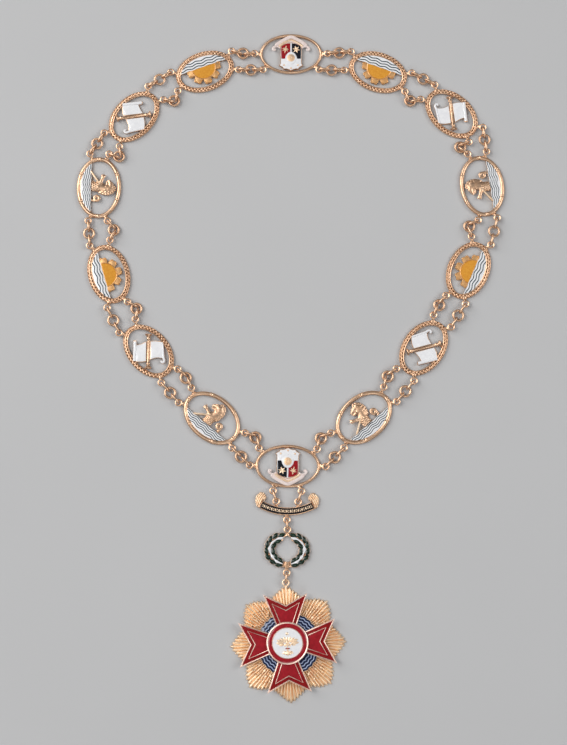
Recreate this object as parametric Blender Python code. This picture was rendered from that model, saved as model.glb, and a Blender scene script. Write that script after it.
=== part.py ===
"""Chivalric order collar: fourteen pierced oval medallions on a double chain, with a hanging star.

The collar lies face up in a closed loop. X runs across the loop, Y from the star to the top
medallion and Z up from the surface that the pieces lie on. Lengths are in metres.
"""

import math
from collections import namedtuple

import bmesh
import bpy
from mathutils import Matrix, Vector

MM = 0.001

# Clearance, and the depths to which soldered metal runs together
CLEARANCE = 0.3 * MM
SOLDER_BITE = 1.4 * MM
CONTACT_BITE = 0.3 * MM

# Links, rings and eyes
LINK_LENGTH = 9.0 * MM
LINK_WIDTH = 5.4 * MM
LINK_WIRE = 1.4 * MM
RING_OUTER = 8.6 * MM
RING_WIRE = 1.5 * MM
EYE_OUTER = 5.2 * MM
EYE_WIRE = 1.2 * MM
EYE_GAP = 1.2 * MM
EYE_ROOT_BOTTOM = 0.8 * MM
EYE_ROOT_TOP = 2.1 * MM
PENDANT_LINK_LENGTH = 8.2 * MM
PENDANT_EYE_GAP = 0.4 * MM
LINK_SIDES = 10
WIRE_SIDES = 5
EYE_SIDES = 6

# Oval frames of the medallions, over their outer edges
FRAME_THICKNESS = 2.8 * MM
ROPE_OVAL_LENGTH = 43.0 * MM
ROPE_OVAL_WIDTH = 29.4 * MM
ROPE_BAND = 4.5 * MM
BAMBOO_OVAL_LENGTH = 44.6 * MM
BAMBOO_OVAL_WIDTH = 31.8 * MM
BAMBOO_BAND = 3.2 * MM
PLAIN_OVAL_LENGTH = 45.0 * MM
PLAIN_OVAL_WIDTH = 29.8 * MM
PLAIN_BAND = 2.8 * MM
FRAME_SLOPE_SHARE = 0.12
FRAME_SIDES = 16

# Motifs in the ovals
MOTIF_LIFT = 0.6 * MM
MOTIF_THICKNESS = 1.6 * MM
MOTIF_SEAT_SHARE = 0.5
GEAR_RADIUS = 8.6 * MM
GEAR_TOOTH_HEIGHT = 3.0 * MM
GEAR_TOOTH_ROOT_WIDTH = 3.7 * MM
GEAR_TOOTH_CROWN_WIDTH = 4.6 * MM
GEAR_TOOTH_TURN = 40.0
WATER_STEPS = 5

# Banner under the bottom medallion
BANNER_RADIUS = 38.5 * MM
BANNER_WIDTH = 5.8 * MM
BANNER_HALF_ANGLE = 28.5
BANNER_THICKNESS = 2.4 * MM
BANNER_TIP_LENGTH = 8.0 * MM
BANNER_EYE_SPREAD = 15.1 * MM
BANNER_STEPS = 8

# Laurel wreath
WREATH_LENGTH = 23.4 * MM
WREATH_WIDTH = 32.4 * MM
WREATH_OPENING_LENGTH = 16.8 * MM
WREATH_OPENING_WIDTH = 16.2 * MM
WREATH_THICKNESS = 2.4 * MM
WREATH_NOTCH_SHARE = 0.90
WREATH_LEAVES = 7

# Star, wave ring, cross and centre disc, from the back to the front
STAR_RADIUS = 39.6 * MM
STAR_EYE_STANDOFF = 1.8 * MM
STAR_EDGE_THICKNESS = 1.2 * MM
STAR_THICKNESS = 2.6 * MM
WAVE_RING_RADIUS = 22.0 * MM
WAVE_RING_BAND = 9.0 * MM
WAVE_RING_THICKNESS = 0.9 * MM
WAVE_DEPTH = 0.8 * MM
WAVE_COUNT = 10
CROSS_TIP_RADIUS = 36.4 * MM
CROSS_TIP_TURN = 24.5
CROSS_NOTCH_RADIUS = 25.4 * MM
CROSS_ROOT_WIDTH = 12.0 * MM
CROSS_THICKNESS = 1.4 * MM
DISC_RADIUS = 14.4 * MM
DISC_BOSS_RADIUS = 10.8 * MM
DISC_THICKNESS = 1.5 * MM
DISC_BOSS_HEIGHT = 0.5 * MM
DISC_SIDES = 20

# How the pieces of the pendant lie, in degrees, counter-clockwise positive
WREATH_LINK_TURN = 4.0
WREATH_TURN = -1.0
STAR_LINK_TURN = -6.0
STAR_TURN = 2.6

# What follows from the sizes above: the way between the centres of a link's end bars, the rise of its
# sides over its middle, the height of that middle, and the way from an eye to a taut chain's ring
LINK_SPACING = LINK_LENGTH - LINK_WIRE
PENDANT_LINK_SPACING = PENDANT_LINK_LENGTH - LINK_WIRE
LINK_RISE = (LINK_WIDTH - LINK_WIRE) / 2
WIRE_HEIGHT = LINK_WIDTH / 2
RING_RADIUS = (RING_OUTER - RING_WIRE) / 2
EYE_STANDOFF = EYE_OUTER / 2 + EYE_GAP
PENDANT_EYE_STANDOFF = EYE_OUTER / 2 + PENDANT_EYE_GAP
TAUT_REACH = LINK_SPACING + RING_RADIUS - RING_WIRE / 2 - LINK_WIRE / 2 + CONTACT_BITE

# How far the links' end bars keep to their own side of a slack ring, how far they stand past its
# middle, and how much shorter than a taut chain the mean one lies
BAR_ASIDE = (LINK_WIRE + CLEARANCE) / 2
RING_LAG = 1.0 * MM
CHAIN_SLACK = 1.4 * MM

# An oval frame: its size, its band and the turns of its eyes round it, outer eye first
Oval = namedtuple("Oval", "length width band eye_turns")
OVALS = {
    "gear": Oval(ROPE_OVAL_LENGTH, ROPE_OVAL_WIDTH, ROPE_BAND, (-22.0, 22.0)),
    "scroll": Oval(ROPE_OVAL_LENGTH, ROPE_OVAL_WIDTH, ROPE_BAND, (-22.0, 22.0)),
    "sea_lion": Oval(BAMBOO_OVAL_LENGTH, BAMBOO_OVAL_WIDTH, BAMBOO_BAND, (-19.0, 19.0)),
    "shield": Oval(PLAIN_OVAL_LENGTH, PLAIN_OVAL_WIDTH, PLAIN_BAND, (0.0, 38.0)),
}
PENDANT_EYE_TURN = 67.0

# Route of the double chain, counter-clockwise from the bottom: each medallion's motif, the place of
# its centre in pitches from the middle of the collar, and its turn in degrees. A pitch is an oval
# with its eyes and a chain.
Place = namedtuple("Place", "motif x y turn")
COLLAR_ROUTE = [
    Place("shield", -0.031, -1.092, -1.0),
    Place("sea_lion", 0.727, -0.608, 41.1),
    Place("scroll", 1.332, 0.093, 55.2),
    Place("gear", 1.794, 0.887, 66.3),
    Place("sea_lion", 1.950, 1.763, 97.8),
    Place("scroll", 1.651, 2.526, 137.0),
    Place("gear", 0.899, 2.971, 159.9),
    Place("shield", 0.005, 3.164, 180.0),
    Place("gear", -0.882, 2.977, 200.0),
    Place("scroll", -1.604, 2.494, 228.1),
    Place("sea_lion", -1.952, 1.746, 269.6),
    Place("gear", -1.836, 0.849, 286.4),
    Place("scroll", -1.425, 0.061, 310.4),
    Place("sea_lion", -0.786, -0.613, 319.8),
]
MEAN_OVAL_LENGTH = sum(OVALS[place.motif].length for place in COLLAR_ROUTE) / len(COLLAR_ROUTE)
PITCH = MEAN_OVAL_LENGTH + 2 * EYE_STANDOFF + 2 * TAUT_REACH - CHAIN_SLACK

# Outlines of the motifs, in shares of their oval's half length and half width
WATER_LEVEL = {"gear": -0.24, "sea_lion": -0.37}
SEA_LION_OUTLINE = [
    (-0.59, -0.37), (-0.65, -0.35), (-0.37, -0.14), (-0.23, -0.04), (-0.28, 0.03), (-0.44, 0.10),
    (-0.46, 0.29), (-0.29, 0.16), (-0.14, 0.24), (-0.17, 0.40), (-0.27, 0.44), (-0.24, 0.57),
    (-0.06, 0.74), (0.13, 0.70), (0.20, 0.49), (0.18, 0.20), (0.10, -0.12), (0.08, -0.37),
]
SEA_LION_TAIL = [
    (0.34, -0.37), (0.37, -0.18), (0.27, -0.19), (0.23, -0.03), (0.34, 0.11), (0.45, 0.04),
    (0.46, -0.12), (0.43, -0.37),
]
SCROLL_OUTLINE = [
    (-0.45, 0.44), (-0.28, 0.22), (-0.30, 0.08), (-0.38, -0.24), (-0.52, -0.16), (-0.58, -0.30),
    (-0.06, -0.85), (0.20, -0.42), (0.40, -0.64), (0.48, -0.50), (0.27, -0.24), (0.46, 0.10),
    (0.60, 0.08), (0.53, 0.27), (0.16, 0.80), (-0.17, 0.36), (-0.37, 0.57),
]
HALF_SHIELD_OUTLINE = [
    (0.00, -0.93), (0.30, -0.75), (0.55, -0.50), (0.66, -0.28), (0.58, -0.15), (0.48, -0.36),
    (0.36, -0.28), (0.36, 0.20), (0.33, 0.45), (0.39, 0.66), (0.26, 0.80), (0.00, 0.92),
]
# Half of the star's outline between two of its four main tips, in degrees and shares of its radius
STAR_EIGHTH = [(0.0, 1.0), (8.0, 0.91), (15.5, 0.85), (21.0, 0.78), (27.0, 0.90), (36.0, 0.93), (45.0, 1.0)]
# Profile of a banner's tip, in shares of its length: along the band, then away from it
BANNER_TIP = [(-0.22, 0.24), (-0.10, 0.90), (0.25, 0.85), (0.62, 0.45), (0.80, -0.15), (0.45, -0.36)]

# Colours, roughness and metallic values
GILT = ("gilt", (0.83, 0.50, 0.30), 0.25, 1.0)
RED_ENAMEL = ("red_enamel", (0.35, 0.01, 0.015), 0.15, 0.0)
BLACK_ENAMEL = ("black_enamel", (0.01, 0.01, 0.012), 0.15, 0.0)
GREEN_ENAMEL = ("green_enamel", (0.01, 0.04, 0.02), 0.15, 0.0)
BLUE_ENAMEL = ("blue_enamel", (0.01, 0.02, 0.07), 0.15, 0.0)
WHITE_ENAMEL = ("white_enamel", (0.80, 0.80, 0.82), 0.15, 0.0)


def material(finish):
    """Returns the Principled material of a finish, made once."""
    name, colour, roughness, metallic = finish
    if name not in bpy.data.materials:
        made = bpy.data.materials.new(name)
        made.use_nodes = True
        shader = made.node_tree.nodes["Principled BSDF"]
        shader.inputs["Base Color"].default_value = (*colour, 1.0)
        shader.inputs["Roughness"].default_value = roughness
        shader.inputs["Metallic"].default_value = metallic
    return bpy.data.materials[name]


def add_object(name, mesh, finish=None, location=(0.0, 0.0, 0.0), turn=0.0):
    """Links an object to the scene, turned about Z by degrees."""
    piece = bpy.data.objects.new(name, mesh)
    piece.location = location
    piece.rotation_euler = (0.0, 0.0, math.radians(turn))
    if finish and not mesh.materials:
        mesh.materials.append(material(finish))
    bpy.context.collection.objects.link(piece)
    return piece


def to_mesh(name, shape):
    """Turns a bmesh into a mesh with its faces pointing out."""
    bmesh.ops.recalc_face_normals(shape, faces=shape.faces)
    mesh = bpy.data.meshes.new(name)
    shape.to_mesh(mesh)
    shape.free()
    return mesh


def ring_mesh(name, sections):
    """Joins sections, each a closed row of points, into a closed ring."""
    shape = bmesh.new()
    rows = [[shape.verts.new(point) for point in section] for section in sections]
    for here, there in zip(rows, rows[1:] + rows[:1]):
        for k in range(len(here)):
            nxt = (k + 1) % len(here)
            shape.faces.new((here[k], here[nxt], there[nxt], there[k]))
    return to_mesh(name, shape)


def plate_mesh(name, outline, bottom, top):
    """Extrudes a flat outline from one height to another."""
    shape = bmesh.new()
    rim = [shape.verts.new((x, y, bottom)) for x, y in outline]
    face = shape.faces.new(rim)
    raised = bmesh.ops.extrude_face_region(shape, geom=[face])
    moved = [item for item in raised["geom"] if isinstance(item, bmesh.types.BMVert)]
    bmesh.ops.translate(shape, verts=moved, vec=(0.0, 0.0, top - bottom))
    return to_mesh(name, shape)


def fuse(name, meshes):
    """Solders meshes that run into each other into one body."""
    body = add_object(name, meshes[0])
    tools = []
    for mesh in meshes[1:]:
        tool = add_object(name + "_tool", mesh)
        joint = body.modifiers.new("solder", "BOOLEAN")
        joint.operation = "UNION"
        joint.object = tool
        tools.append(tool)
    view = bpy.context.evaluated_depsgraph_get()
    fused = bpy.data.meshes.new_from_object(body.evaluated_get(view))
    fused.name = name
    for item in tools + [body]:
        bpy.data.objects.remove(item)
    return fused


def placed(mesh, location, turn=0.0):
    """Moves a mesh to its place in a piece, turned about Z by degrees."""
    mesh.transform(Matrix.Translation(location) @ Matrix.Rotation(math.radians(turn), 4, "Z"))
    return mesh


def turned(x, y, degrees):
    """Returns a flat vector turned about Z."""
    return Matrix.Rotation(math.radians(degrees), 2) @ Vector((x, y))


def wire_ring_mesh(name, path, across, wire):
    """Bends a wire round a flat closed path whose plane is square to `across`."""
    sections = []
    for k, point in enumerate(path):
        along = (path[(k + 1) % len(path)] - path[k - 1]).normalized()
        outward = along.cross(across)
        section = []
        for side in range(WIRE_SIDES):
            angle = 2 * math.pi * side / WIRE_SIDES
            section.append(point + (outward * math.cos(angle) + across * math.sin(angle)) * wire / 2)
        sections.append(section)
    return ring_mesh(name, sections)


def link_mesh(name, length):
    """Makes an oval link on its edge, its first end bar at the origin and its length along +X."""
    middle = Vector(((length - LINK_WIRE) / 2, 0.0, WIRE_HEIGHT))
    reach = link_reach(middle.x)
    path = []
    for k in range(LINK_SIDES):
        angle = 2 * math.pi * (k + 0.5) / LINK_SIDES
        path.append(middle + Vector((reach * math.cos(angle), 0.0, LINK_RISE * math.sin(angle))))
    return wire_ring_mesh(name, path, Vector((0.0, 1.0, 0.0)), LINK_WIRE)


def link_reach(half_spacing):
    """Returns the half length of the oval on which the corners of a link lie."""
    return half_spacing / math.cos(math.pi / LINK_SIDES)


def ring_height(crossing):
    """Returns the height of a flat ring that lies on its links' lower sides, off their middles."""
    reach = link_reach(LINK_SPACING / 2)
    side = WIRE_HEIGHT - LINK_RISE * math.sqrt(1 - min(crossing / reach, 1.0) ** 2)
    return side + LINK_WIRE / 2 + RING_WIRE / 2 - CONTACT_BITE


def flat_ring_mesh(name, height):
    """Makes the round ring in the middle of a chain, lying flat about the origin."""
    path = []
    for k in range(LINK_SIDES):
        angle = 2 * math.pi * (k + 0.5) / LINK_SIDES
        path.append(Vector((RING_RADIUS * math.cos(angle), RING_RADIUS * math.sin(angle), height)))
    return wire_ring_mesh(name, path, Vector((0.0, 0.0, 1.0)), RING_WIRE)


def eye_mesh(name, standoff):
    """Makes a flat eye with its hole at the origin and its root running back along -X."""
    sections = []
    for k in range(EYE_SIDES):
        angle = 2 * math.pi * (k + 0.5) / EYE_SIDES
        way = Vector((math.cos(angle), math.sin(angle)))
        inner = way * (EYE_OUTER / 2 - EYE_WIRE)
        outer = way * EYE_OUTER / 2
        rim = [(*outer, WIRE_HEIGHT - EYE_WIRE / 2), (*outer, WIRE_HEIGHT + EYE_WIRE / 2)]
        if k in (EYE_SIDES // 2 - 1, EYE_SIDES // 2):
            root = (-standoff - SOLDER_BITE, outer.y)
            rim = [(*root, EYE_ROOT_BOTTOM), (*root, EYE_ROOT_TOP)]
        sections.append(rim + [(*inner, WIRE_HEIGHT)])
    return ring_mesh(name, sections)


def on_oval(oval, turn, out=0.0):
    """Returns a point at a turn round an oval, set out square to its edge, and the way out."""
    angle = math.radians(turn)
    half_length = oval.length / 2
    half_width = oval.width / 2
    way = Vector((math.cos(angle) / half_length, math.sin(angle) / half_width)).normalized()
    return Vector((half_length * math.cos(angle), half_width * math.sin(angle))) + way * out, way


def frame_mesh(name, oval):
    """Makes the pierced oval frame, its crest narrower than its back."""
    slope = FRAME_SLOPE_SHARE * oval.band
    profile = (
        (0.0, 0.0),
        (-slope, FRAME_THICKNESS),
        (slope - oval.band, FRAME_THICKNESS),
        (-oval.band, 0.0),
    )
    sections = []
    for k in range(FRAME_SIDES):
        turn = 360.0 * (k + 0.5) / FRAME_SIDES
        sections.append([(*on_oval(oval, turn, out)[0], height) for out, height in profile])
    return ring_mesh(name, sections)


def oval_eyes(name, oval, turns, standoff=EYE_STANDOFF):
    """Makes the eyes that stand out of an oval at the given turns."""
    eyes = []
    for turn in turns:
        hole, way = on_oval(oval, turn, standoff)
        heading = math.degrees(math.atan2(way.y, way.x))
        eyes.append(placed(eye_mesh(name, standoff), (*hole, 0.0), heading))
    return eyes


def scaled_outline(oval, shares):
    """Turns an outline in shares of an oval's halves into lengths."""
    return [(x * oval.length / 2, y * oval.width / 2) for x, y in shares]


def water_plaque(oval, level):
    """Returns the outline of the water under a level, from the right side round to the left."""
    seat = MOTIF_SEAT_SHARE * oval.band
    level_turn = math.degrees(math.asin(-level / (1 - 2 * seat / oval.width)))
    sweep = 180.0 - 2 * level_turn
    turns = [-level_turn - sweep * k / WATER_STEPS for k in range(WATER_STEPS + 1)]
    return [tuple(on_oval(oval, turn, -seat)[0]) for turn in turns]


def gear_outline(oval):
    """Returns the half gear that rises out of the water, with the water under it."""
    level = WATER_LEVEL["gear"] * oval.width / 2
    crown_radius = GEAR_RADIUS + GEAR_TOOTH_HEIGHT
    root = math.degrees(GEAR_TOOTH_ROOT_WIDTH / 2 / GEAR_RADIUS)
    crown = math.degrees(GEAR_TOOTH_CROWN_WIDTH / 2 / crown_radius)
    corners = ((root, GEAR_RADIUS), (crown, crown_radius), (-crown, crown_radius), (-root, GEAR_RADIUS))
    points = []
    for tooth in (2, 1, 0, -1, -2):
        for aside, radius in corners:
            angle = math.radians(90.0 + tooth * GEAR_TOOTH_TURN + aside)
            if math.sin(angle) > 0:
                points.append((radius * math.cos(angle), level + radius * math.sin(angle)))
    foot = (crown_radius, level)
    return [(-foot[0], level)] + points + [foot] + water_plaque(oval, WATER_LEVEL["gear"])


def motif_outline(motif, oval):
    """Returns the outline of a medallion's motif."""
    if motif == "gear":
        return gear_outline(oval)
    if motif == "scroll":
        return scaled_outline(oval, SCROLL_OUTLINE)
    if motif == "sea_lion":
        beast = scaled_outline(oval, SEA_LION_OUTLINE + SEA_LION_TAIL)
        return beast + water_plaque(oval, WATER_LEVEL["sea_lion"])
    mirrored = [(-x, y) for x, y in HALF_SHIELD_OUTLINE[-2:0:-1]]
    return scaled_outline(oval, HALF_SHIELD_OUTLINE + mirrored)


def medallion_mesh(motif, has_pendant=False):
    """Solders a frame, its motif and its eyes."""
    oval = OVALS[motif]
    turns = []
    for turn in oval.eye_turns:
        turns += [turn, 180.0 - turn]
    if has_pendant:
        turns += [-PENDANT_EYE_TURN, PENDANT_EYE_TURN - 180.0]
    outline = motif_outline(motif, oval)
    plate = plate_mesh(motif, outline, MOTIF_LIFT, MOTIF_LIFT + MOTIF_THICKNESS)
    return fuse(motif, [frame_mesh(motif, oval), plate] + oval_eyes(motif, oval, turns))


def chain_mesh(name, span):
    """Makes three interlocked links between two eyes that lie `span` apart along X.

    The ring lies at the middle. Where the span leaves the chain slack, the links lean to +Y, so that
    their end bars pass side by side through the ring, and the ring bows that way with them.
    """
    slip = min(max(span / 2 - TAUT_REACH, 0.0), CLEARANCE)
    half = span / 2 - slip
    lean = math.acos(min((half - BAR_ASIDE) / LINK_SPACING, 1.0))
    way = Vector((math.cos(lean), math.sin(lean)))
    bow = max(LINK_SPACING * way.y - RING_LAG, 0.0)
    bar = way * LINK_SPACING - Vector((half, bow))
    from_bar = bar.dot(way) + math.sqrt(bar.dot(way) ** 2 - bar.dot(bar) + RING_RADIUS ** 2)
    height = ring_height(abs(LINK_SPACING / 2 - from_bar))
    ring = placed(flat_ring_mesh(name, height), (0.0, bow, 0.0))
    first = placed(link_mesh(name, LINK_LENGTH), (-half, 0.0, 0.0), math.degrees(lean))
    second = placed(link_mesh(name, LINK_LENGTH), (half, 0.0, 0.0), 180.0 - math.degrees(lean))
    return fuse(name, [ring, first, second])


def banner_lift():
    """Returns how much higher the banner's curve stands at its upper eyes than at its middle."""
    return BANNER_RADIUS - math.sqrt(BANNER_RADIUS ** 2 - (BANNER_EYE_SPREAD / 2) ** 2)


def banner_drop():
    """Returns the height of the banner's lower hole under the line of its upper holes."""
    return -(2 * PENDANT_EYE_STANDOFF + BANNER_WIDTH + banner_lift())


def banner_mesh():
    """Makes the curved banner, the middle of its two upper holes at the origin."""
    middle = -(PENDANT_EYE_STANDOFF + BANNER_WIDTH / 2)
    half_spread = BANNER_EYE_SPREAD / 2
    centre = Vector((0.0, middle - banner_lift() + BANNER_RADIUS))
    band = []
    for side in (1, -1):
        radius = BANNER_RADIUS + side * BANNER_WIDTH / 2
        for k in range(BANNER_STEPS + 1):
            angle = math.radians(side * BANNER_HALF_ANGLE * (2 * k / BANNER_STEPS - 1))
            band.append((centre.x + radius * math.sin(angle), centre.y - radius * math.cos(angle)))
    pieces = [plate_mesh("banner", band, 0.0, BANNER_THICKNESS)]
    for side in (-1, 1):
        angle = math.radians(side * BANNER_HALF_ANGLE)
        end = centre + Vector((math.sin(angle), -math.cos(angle))) * BANNER_RADIUS
        tip = [end + Vector((side * x, y)) * BANNER_TIP_LENGTH for x, y in BANNER_TIP]
        pieces.append(plate_mesh("banner", tip, 0.0, BANNER_THICKNESS + CONTACT_BITE))
    for side in (-1, 1):
        pieces.append(placed(eye_mesh("banner", PENDANT_EYE_STANDOFF), (side * half_spread, 0.0, 0.0), 90.0))
    low = placed(eye_mesh("banner", PENDANT_EYE_STANDOFF), (0.0, banner_drop(), 0.0), -90.0)
    return fuse("banner", pieces + [low])


def wreath_mesh():
    """Makes the two laurel branches and their tie, the upper hole at the origin."""
    middle = -(PENDANT_EYE_STANDOFF + WREATH_LENGTH / 2)
    sections = []
    steps = 4 * WREATH_LEAVES
    for k in range(steps):
        angle = math.radians(90.0 + 360.0 * (k + 0.5) / steps)
        across = math.cos(angle) * (WREATH_NOTCH_SHARE if k % 2 else 1.0) / 2
        along = math.sin(angle) * (WREATH_NOTCH_SHARE if k % 2 else 1.0) / 2
        outer = (WREATH_WIDTH * across, middle + WREATH_LENGTH * along)
        inner = (WREATH_OPENING_WIDTH * across, middle + WREATH_OPENING_LENGTH * along)
        rim = [(*outer, 0.0), (*outer, WREATH_THICKNESS), (*inner, WREATH_THICKNESS), (*inner, 0.0)]
        sections.append(rim)
    eyes = [
        placed(eye_mesh("wreath", PENDANT_EYE_STANDOFF), (0.0, 0.0, 0.0), 90.0),
        placed(eye_mesh("wreath", PENDANT_EYE_STANDOFF), (0.0, 2 * middle, 0.0), -90.0),
    ]
    return fuse("wreath", [ring_mesh("wreath", sections)] + eyes)


def star_mesh():
    """Makes the rayed plate, flat at the back and raised to the middle, its hole at the origin."""
    middle = -(STAR_EYE_STANDOFF + STAR_RADIUS)
    shape = bmesh.new()
    apex = shape.verts.new((0.0, middle, STAR_THICKNESS))
    rays = []
    for quarter in range(4):
        eighths = STAR_EIGHTH + [(90.0 - turn, share) for turn, share in STAR_EIGHTH[-2:0:-1]]
        rays += [(90.0 * quarter + turn, share * STAR_RADIUS) for turn, share in eighths]
    low, high = [], []
    for turn, radius in rays:
        x = radius * math.cos(math.radians(turn))
        y = middle + radius * math.sin(math.radians(turn))
        low.append(shape.verts.new((x, y, 0.0)))
        high.append(shape.verts.new((x, y, STAR_EDGE_THICKNESS)))
    shape.faces.new(low)
    for k in range(len(rays)):
        nxt = (k + 1) % len(rays)
        shape.faces.new((low[k], low[nxt], high[nxt], high[k]))
        shape.faces.new((high[k], high[nxt], apex))
    eye = placed(eye_mesh("star", STAR_EYE_STANDOFF), (0.0, 0.0, 0.0), 90.0)
    return fuse("star", [to_mesh("star", shape), eye])


def wave_ring_mesh(bottom):
    """Makes the wavy ring that shows between the arms of the cross."""
    sections = []
    top = bottom + WAVE_RING_THICKNESS
    for k in range(2 * WAVE_COUNT):
        angle = math.pi * k / WAVE_COUNT
        way = Vector((math.cos(angle), math.sin(angle)))
        outer = way * (WAVE_RING_RADIUS - WAVE_DEPTH * (k % 2))
        inner = way * (WAVE_RING_RADIUS - WAVE_RING_BAND)
        sections.append([(*outer, bottom), (*outer, top), (*inner, top), (*inner, bottom)])
    return ring_mesh("wave_ring", sections)


def cross_mesh(bottom):
    """Makes the cross of four arms, each notched at its end."""
    corners = (
        (-CROSS_TIP_TURN, CROSS_TIP_RADIUS),
        (0.0, CROSS_NOTCH_RADIUS),
        (CROSS_TIP_TURN, CROSS_TIP_RADIUS),
        (45.0, CROSS_ROOT_WIDTH / math.sqrt(2)),
    )
    outline = []
    for arm in range(4):
        for aside, radius in corners:
            angle = math.radians(90.0 * arm + aside)
            outline.append((radius * math.cos(angle), radius * math.sin(angle)))
    return plate_mesh("cross", outline, bottom, bottom + CROSS_THICKNESS)


def disc_mesh(bottom):
    """Makes the round centre disc with its raised boss."""
    profile = (
        (DISC_RADIUS, bottom),
        (DISC_RADIUS, bottom + DISC_THICKNESS),
        (DISC_BOSS_RADIUS, bottom + DISC_THICKNESS),
        (DISC_BOSS_RADIUS, bottom + DISC_THICKNESS + DISC_BOSS_HEIGHT),
    )
    shape = bmesh.new()
    rows = []
    for radius, height in profile:
        row = []
        for k in range(DISC_SIDES):
            angle = 2 * math.pi * k / DISC_SIDES
            row.append(shape.verts.new((radius * math.cos(angle), radius * math.sin(angle), height)))
        rows.append(row)
    for here, there in zip(rows, rows[1:]):
        for k in range(DISC_SIDES):
            nxt = (k + 1) % DISC_SIDES
            shape.faces.new((here[k], here[nxt], there[nxt], there[k]))
    shape.faces.new(rows[0])
    shape.faces.new(rows[-1])
    return to_mesh("centre_disc", shape)


def spot(place, local):
    """Returns where a flat point of a medallion lies in the collar."""
    return Vector((place.x, place.y)) * PITCH + turned(*local, place.turn)


def eye_hole(place, eye, end):
    """Returns the hole of a medallion's outer (0) or inner (1) eye at its leading (1) or trailing (-1) end."""
    oval = OVALS[place.motif]
    hole = on_oval(oval, oval.eye_turns[eye], EYE_STANDOFF)[0]
    return spot(place, (end * hole.x, hole.y))


def build_loop():
    """Lays the medallions along the route and the chains between them."""
    meshes = {motif: medallion_mesh(motif) for motif in OVALS}
    counts = dict.fromkeys(OVALS, 0)
    for k, place in enumerate(COLLAR_ROUTE):
        mesh = medallion_mesh("shield", has_pendant=True) if k == 0 else meshes[place.motif]
        counts[place.motif] += 1
        name = f"{place.motif}_medallion_{counts[place.motif]}"
        add_object(name, mesh, GILT, (*spot(place, (0.0, 0.0)), 0.0), place.turn)
    for k, place in enumerate(COLLAR_ROUTE):
        following = COLLAR_ROUTE[(k + 1) % len(COLLAR_ROUTE)]
        for eye, side in enumerate(("outer", "inner")):
            start = eye_hole(place, eye, 1)
            way = eye_hole(following, eye, -1) - start
            name = f"chain_{k + 1}_{side}"
            heading = math.degrees(math.atan2(way.y, way.x))
            add_object(name, chain_mesh(name, way.length), GILT, (*(start + way / 2), 0.0), heading)


def build_pendant():
    """Hangs the banner, the wreath and the star under the bottom medallion."""
    bottom = COLLAR_ROUTE[0]
    hole = on_oval(OVALS["shield"], -PENDANT_EYE_TURN, EYE_STANDOFF)[0]
    half_spread = BANNER_EYE_SPREAD / 2
    aside = hole.x - half_spread
    drop = math.sqrt(LINK_SPACING ** 2 - aside ** 2)
    link = link_mesh("banner_link", LINK_LENGTH)
    for side, name in ((-1, "banner_link_left"), (1, "banner_link_right")):
        heading = bottom.turn - 90.0 - side * math.degrees(math.atan2(aside, drop))
        add_object(name, link, GILT, (*spot(bottom, (side * hole.x, hole.y)), 0.0), heading)
    banner_place = spot(bottom, (0.0, hole.y - drop))
    add_object("banner", banner_mesh(), BLACK_ENAMEL, (*banner_place, 0.0), bottom.turn)

    low_hole = banner_place + turned(0.0, banner_drop(), bottom.turn)
    short_link = link_mesh("pendant_link", PENDANT_LINK_LENGTH)
    add_object("wreath_link", short_link, GILT, (*low_hole, 0.0), WREATH_LINK_TURN - 90.0)
    wreath_place = low_hole + turned(0.0, -PENDANT_LINK_SPACING, WREATH_LINK_TURN)
    add_object("wreath", wreath_mesh(), GREEN_ENAMEL, (*wreath_place, 0.0), WREATH_TURN)

    wreath_reach = WREATH_LENGTH + 2 * PENDANT_EYE_STANDOFF
    foot_hole = wreath_place + turned(0.0, -wreath_reach, WREATH_TURN)
    add_object("star_link", short_link, GILT, (*foot_hole, 0.0), STAR_LINK_TURN - 90.0)
    star_place = foot_hole + turned(0.0, -PENDANT_LINK_SPACING, STAR_LINK_TURN)
    add_object("star", star_mesh(), GILT, (*star_place, 0.0), STAR_TURN)

    centre = star_place + turned(0.0, -STAR_EYE_STANDOFF - STAR_RADIUS, STAR_TURN)
    level = STAR_THICKNESS + CLEARANCE
    add_object("wave_ring", wave_ring_mesh(level), BLUE_ENAMEL, (*centre, 0.0), STAR_TURN)
    level += WAVE_RING_THICKNESS + CLEARANCE
    add_object("cross", cross_mesh(level), RED_ENAMEL, (*centre, 0.0), STAR_TURN)
    level += CROSS_THICKNESS + CLEARANCE
    add_object("centre_disc", disc_mesh(level), WHITE_ENAMEL, (*centre, 0.0), STAR_TURN)


def centre_collar():
    """Moves all pieces so that the middle of the collar's outline is at the origin."""
    bpy.context.view_layer.update()
    corners = [
        piece.matrix_world @ vertex.co for piece in bpy.data.objects for vertex in piece.data.vertices
    ]
    middle_x = (min(c.x for c in corners) + max(c.x for c in corners)) / 2
    middle_y = (min(c.y for c in corners) + max(c.y for c in corners)) / 2
    for piece in bpy.data.objects:
        piece.location.x -= middle_x
        piece.location.y -= middle_y


for leftover in list(bpy.data.objects):
    bpy.data.objects.remove(leftover)
build_loop()
build_pendant()
centre_collar()
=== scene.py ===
"""Looks of a chivalric order collar: enamelled oval medallions on a double chain, with a hanging star.

Every piece is drawn in millimetres, and add_piece brings it to metres."""

import math

import bmesh
import bpy
import numpy as np
from mathutils import Matrix, Vector


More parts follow.
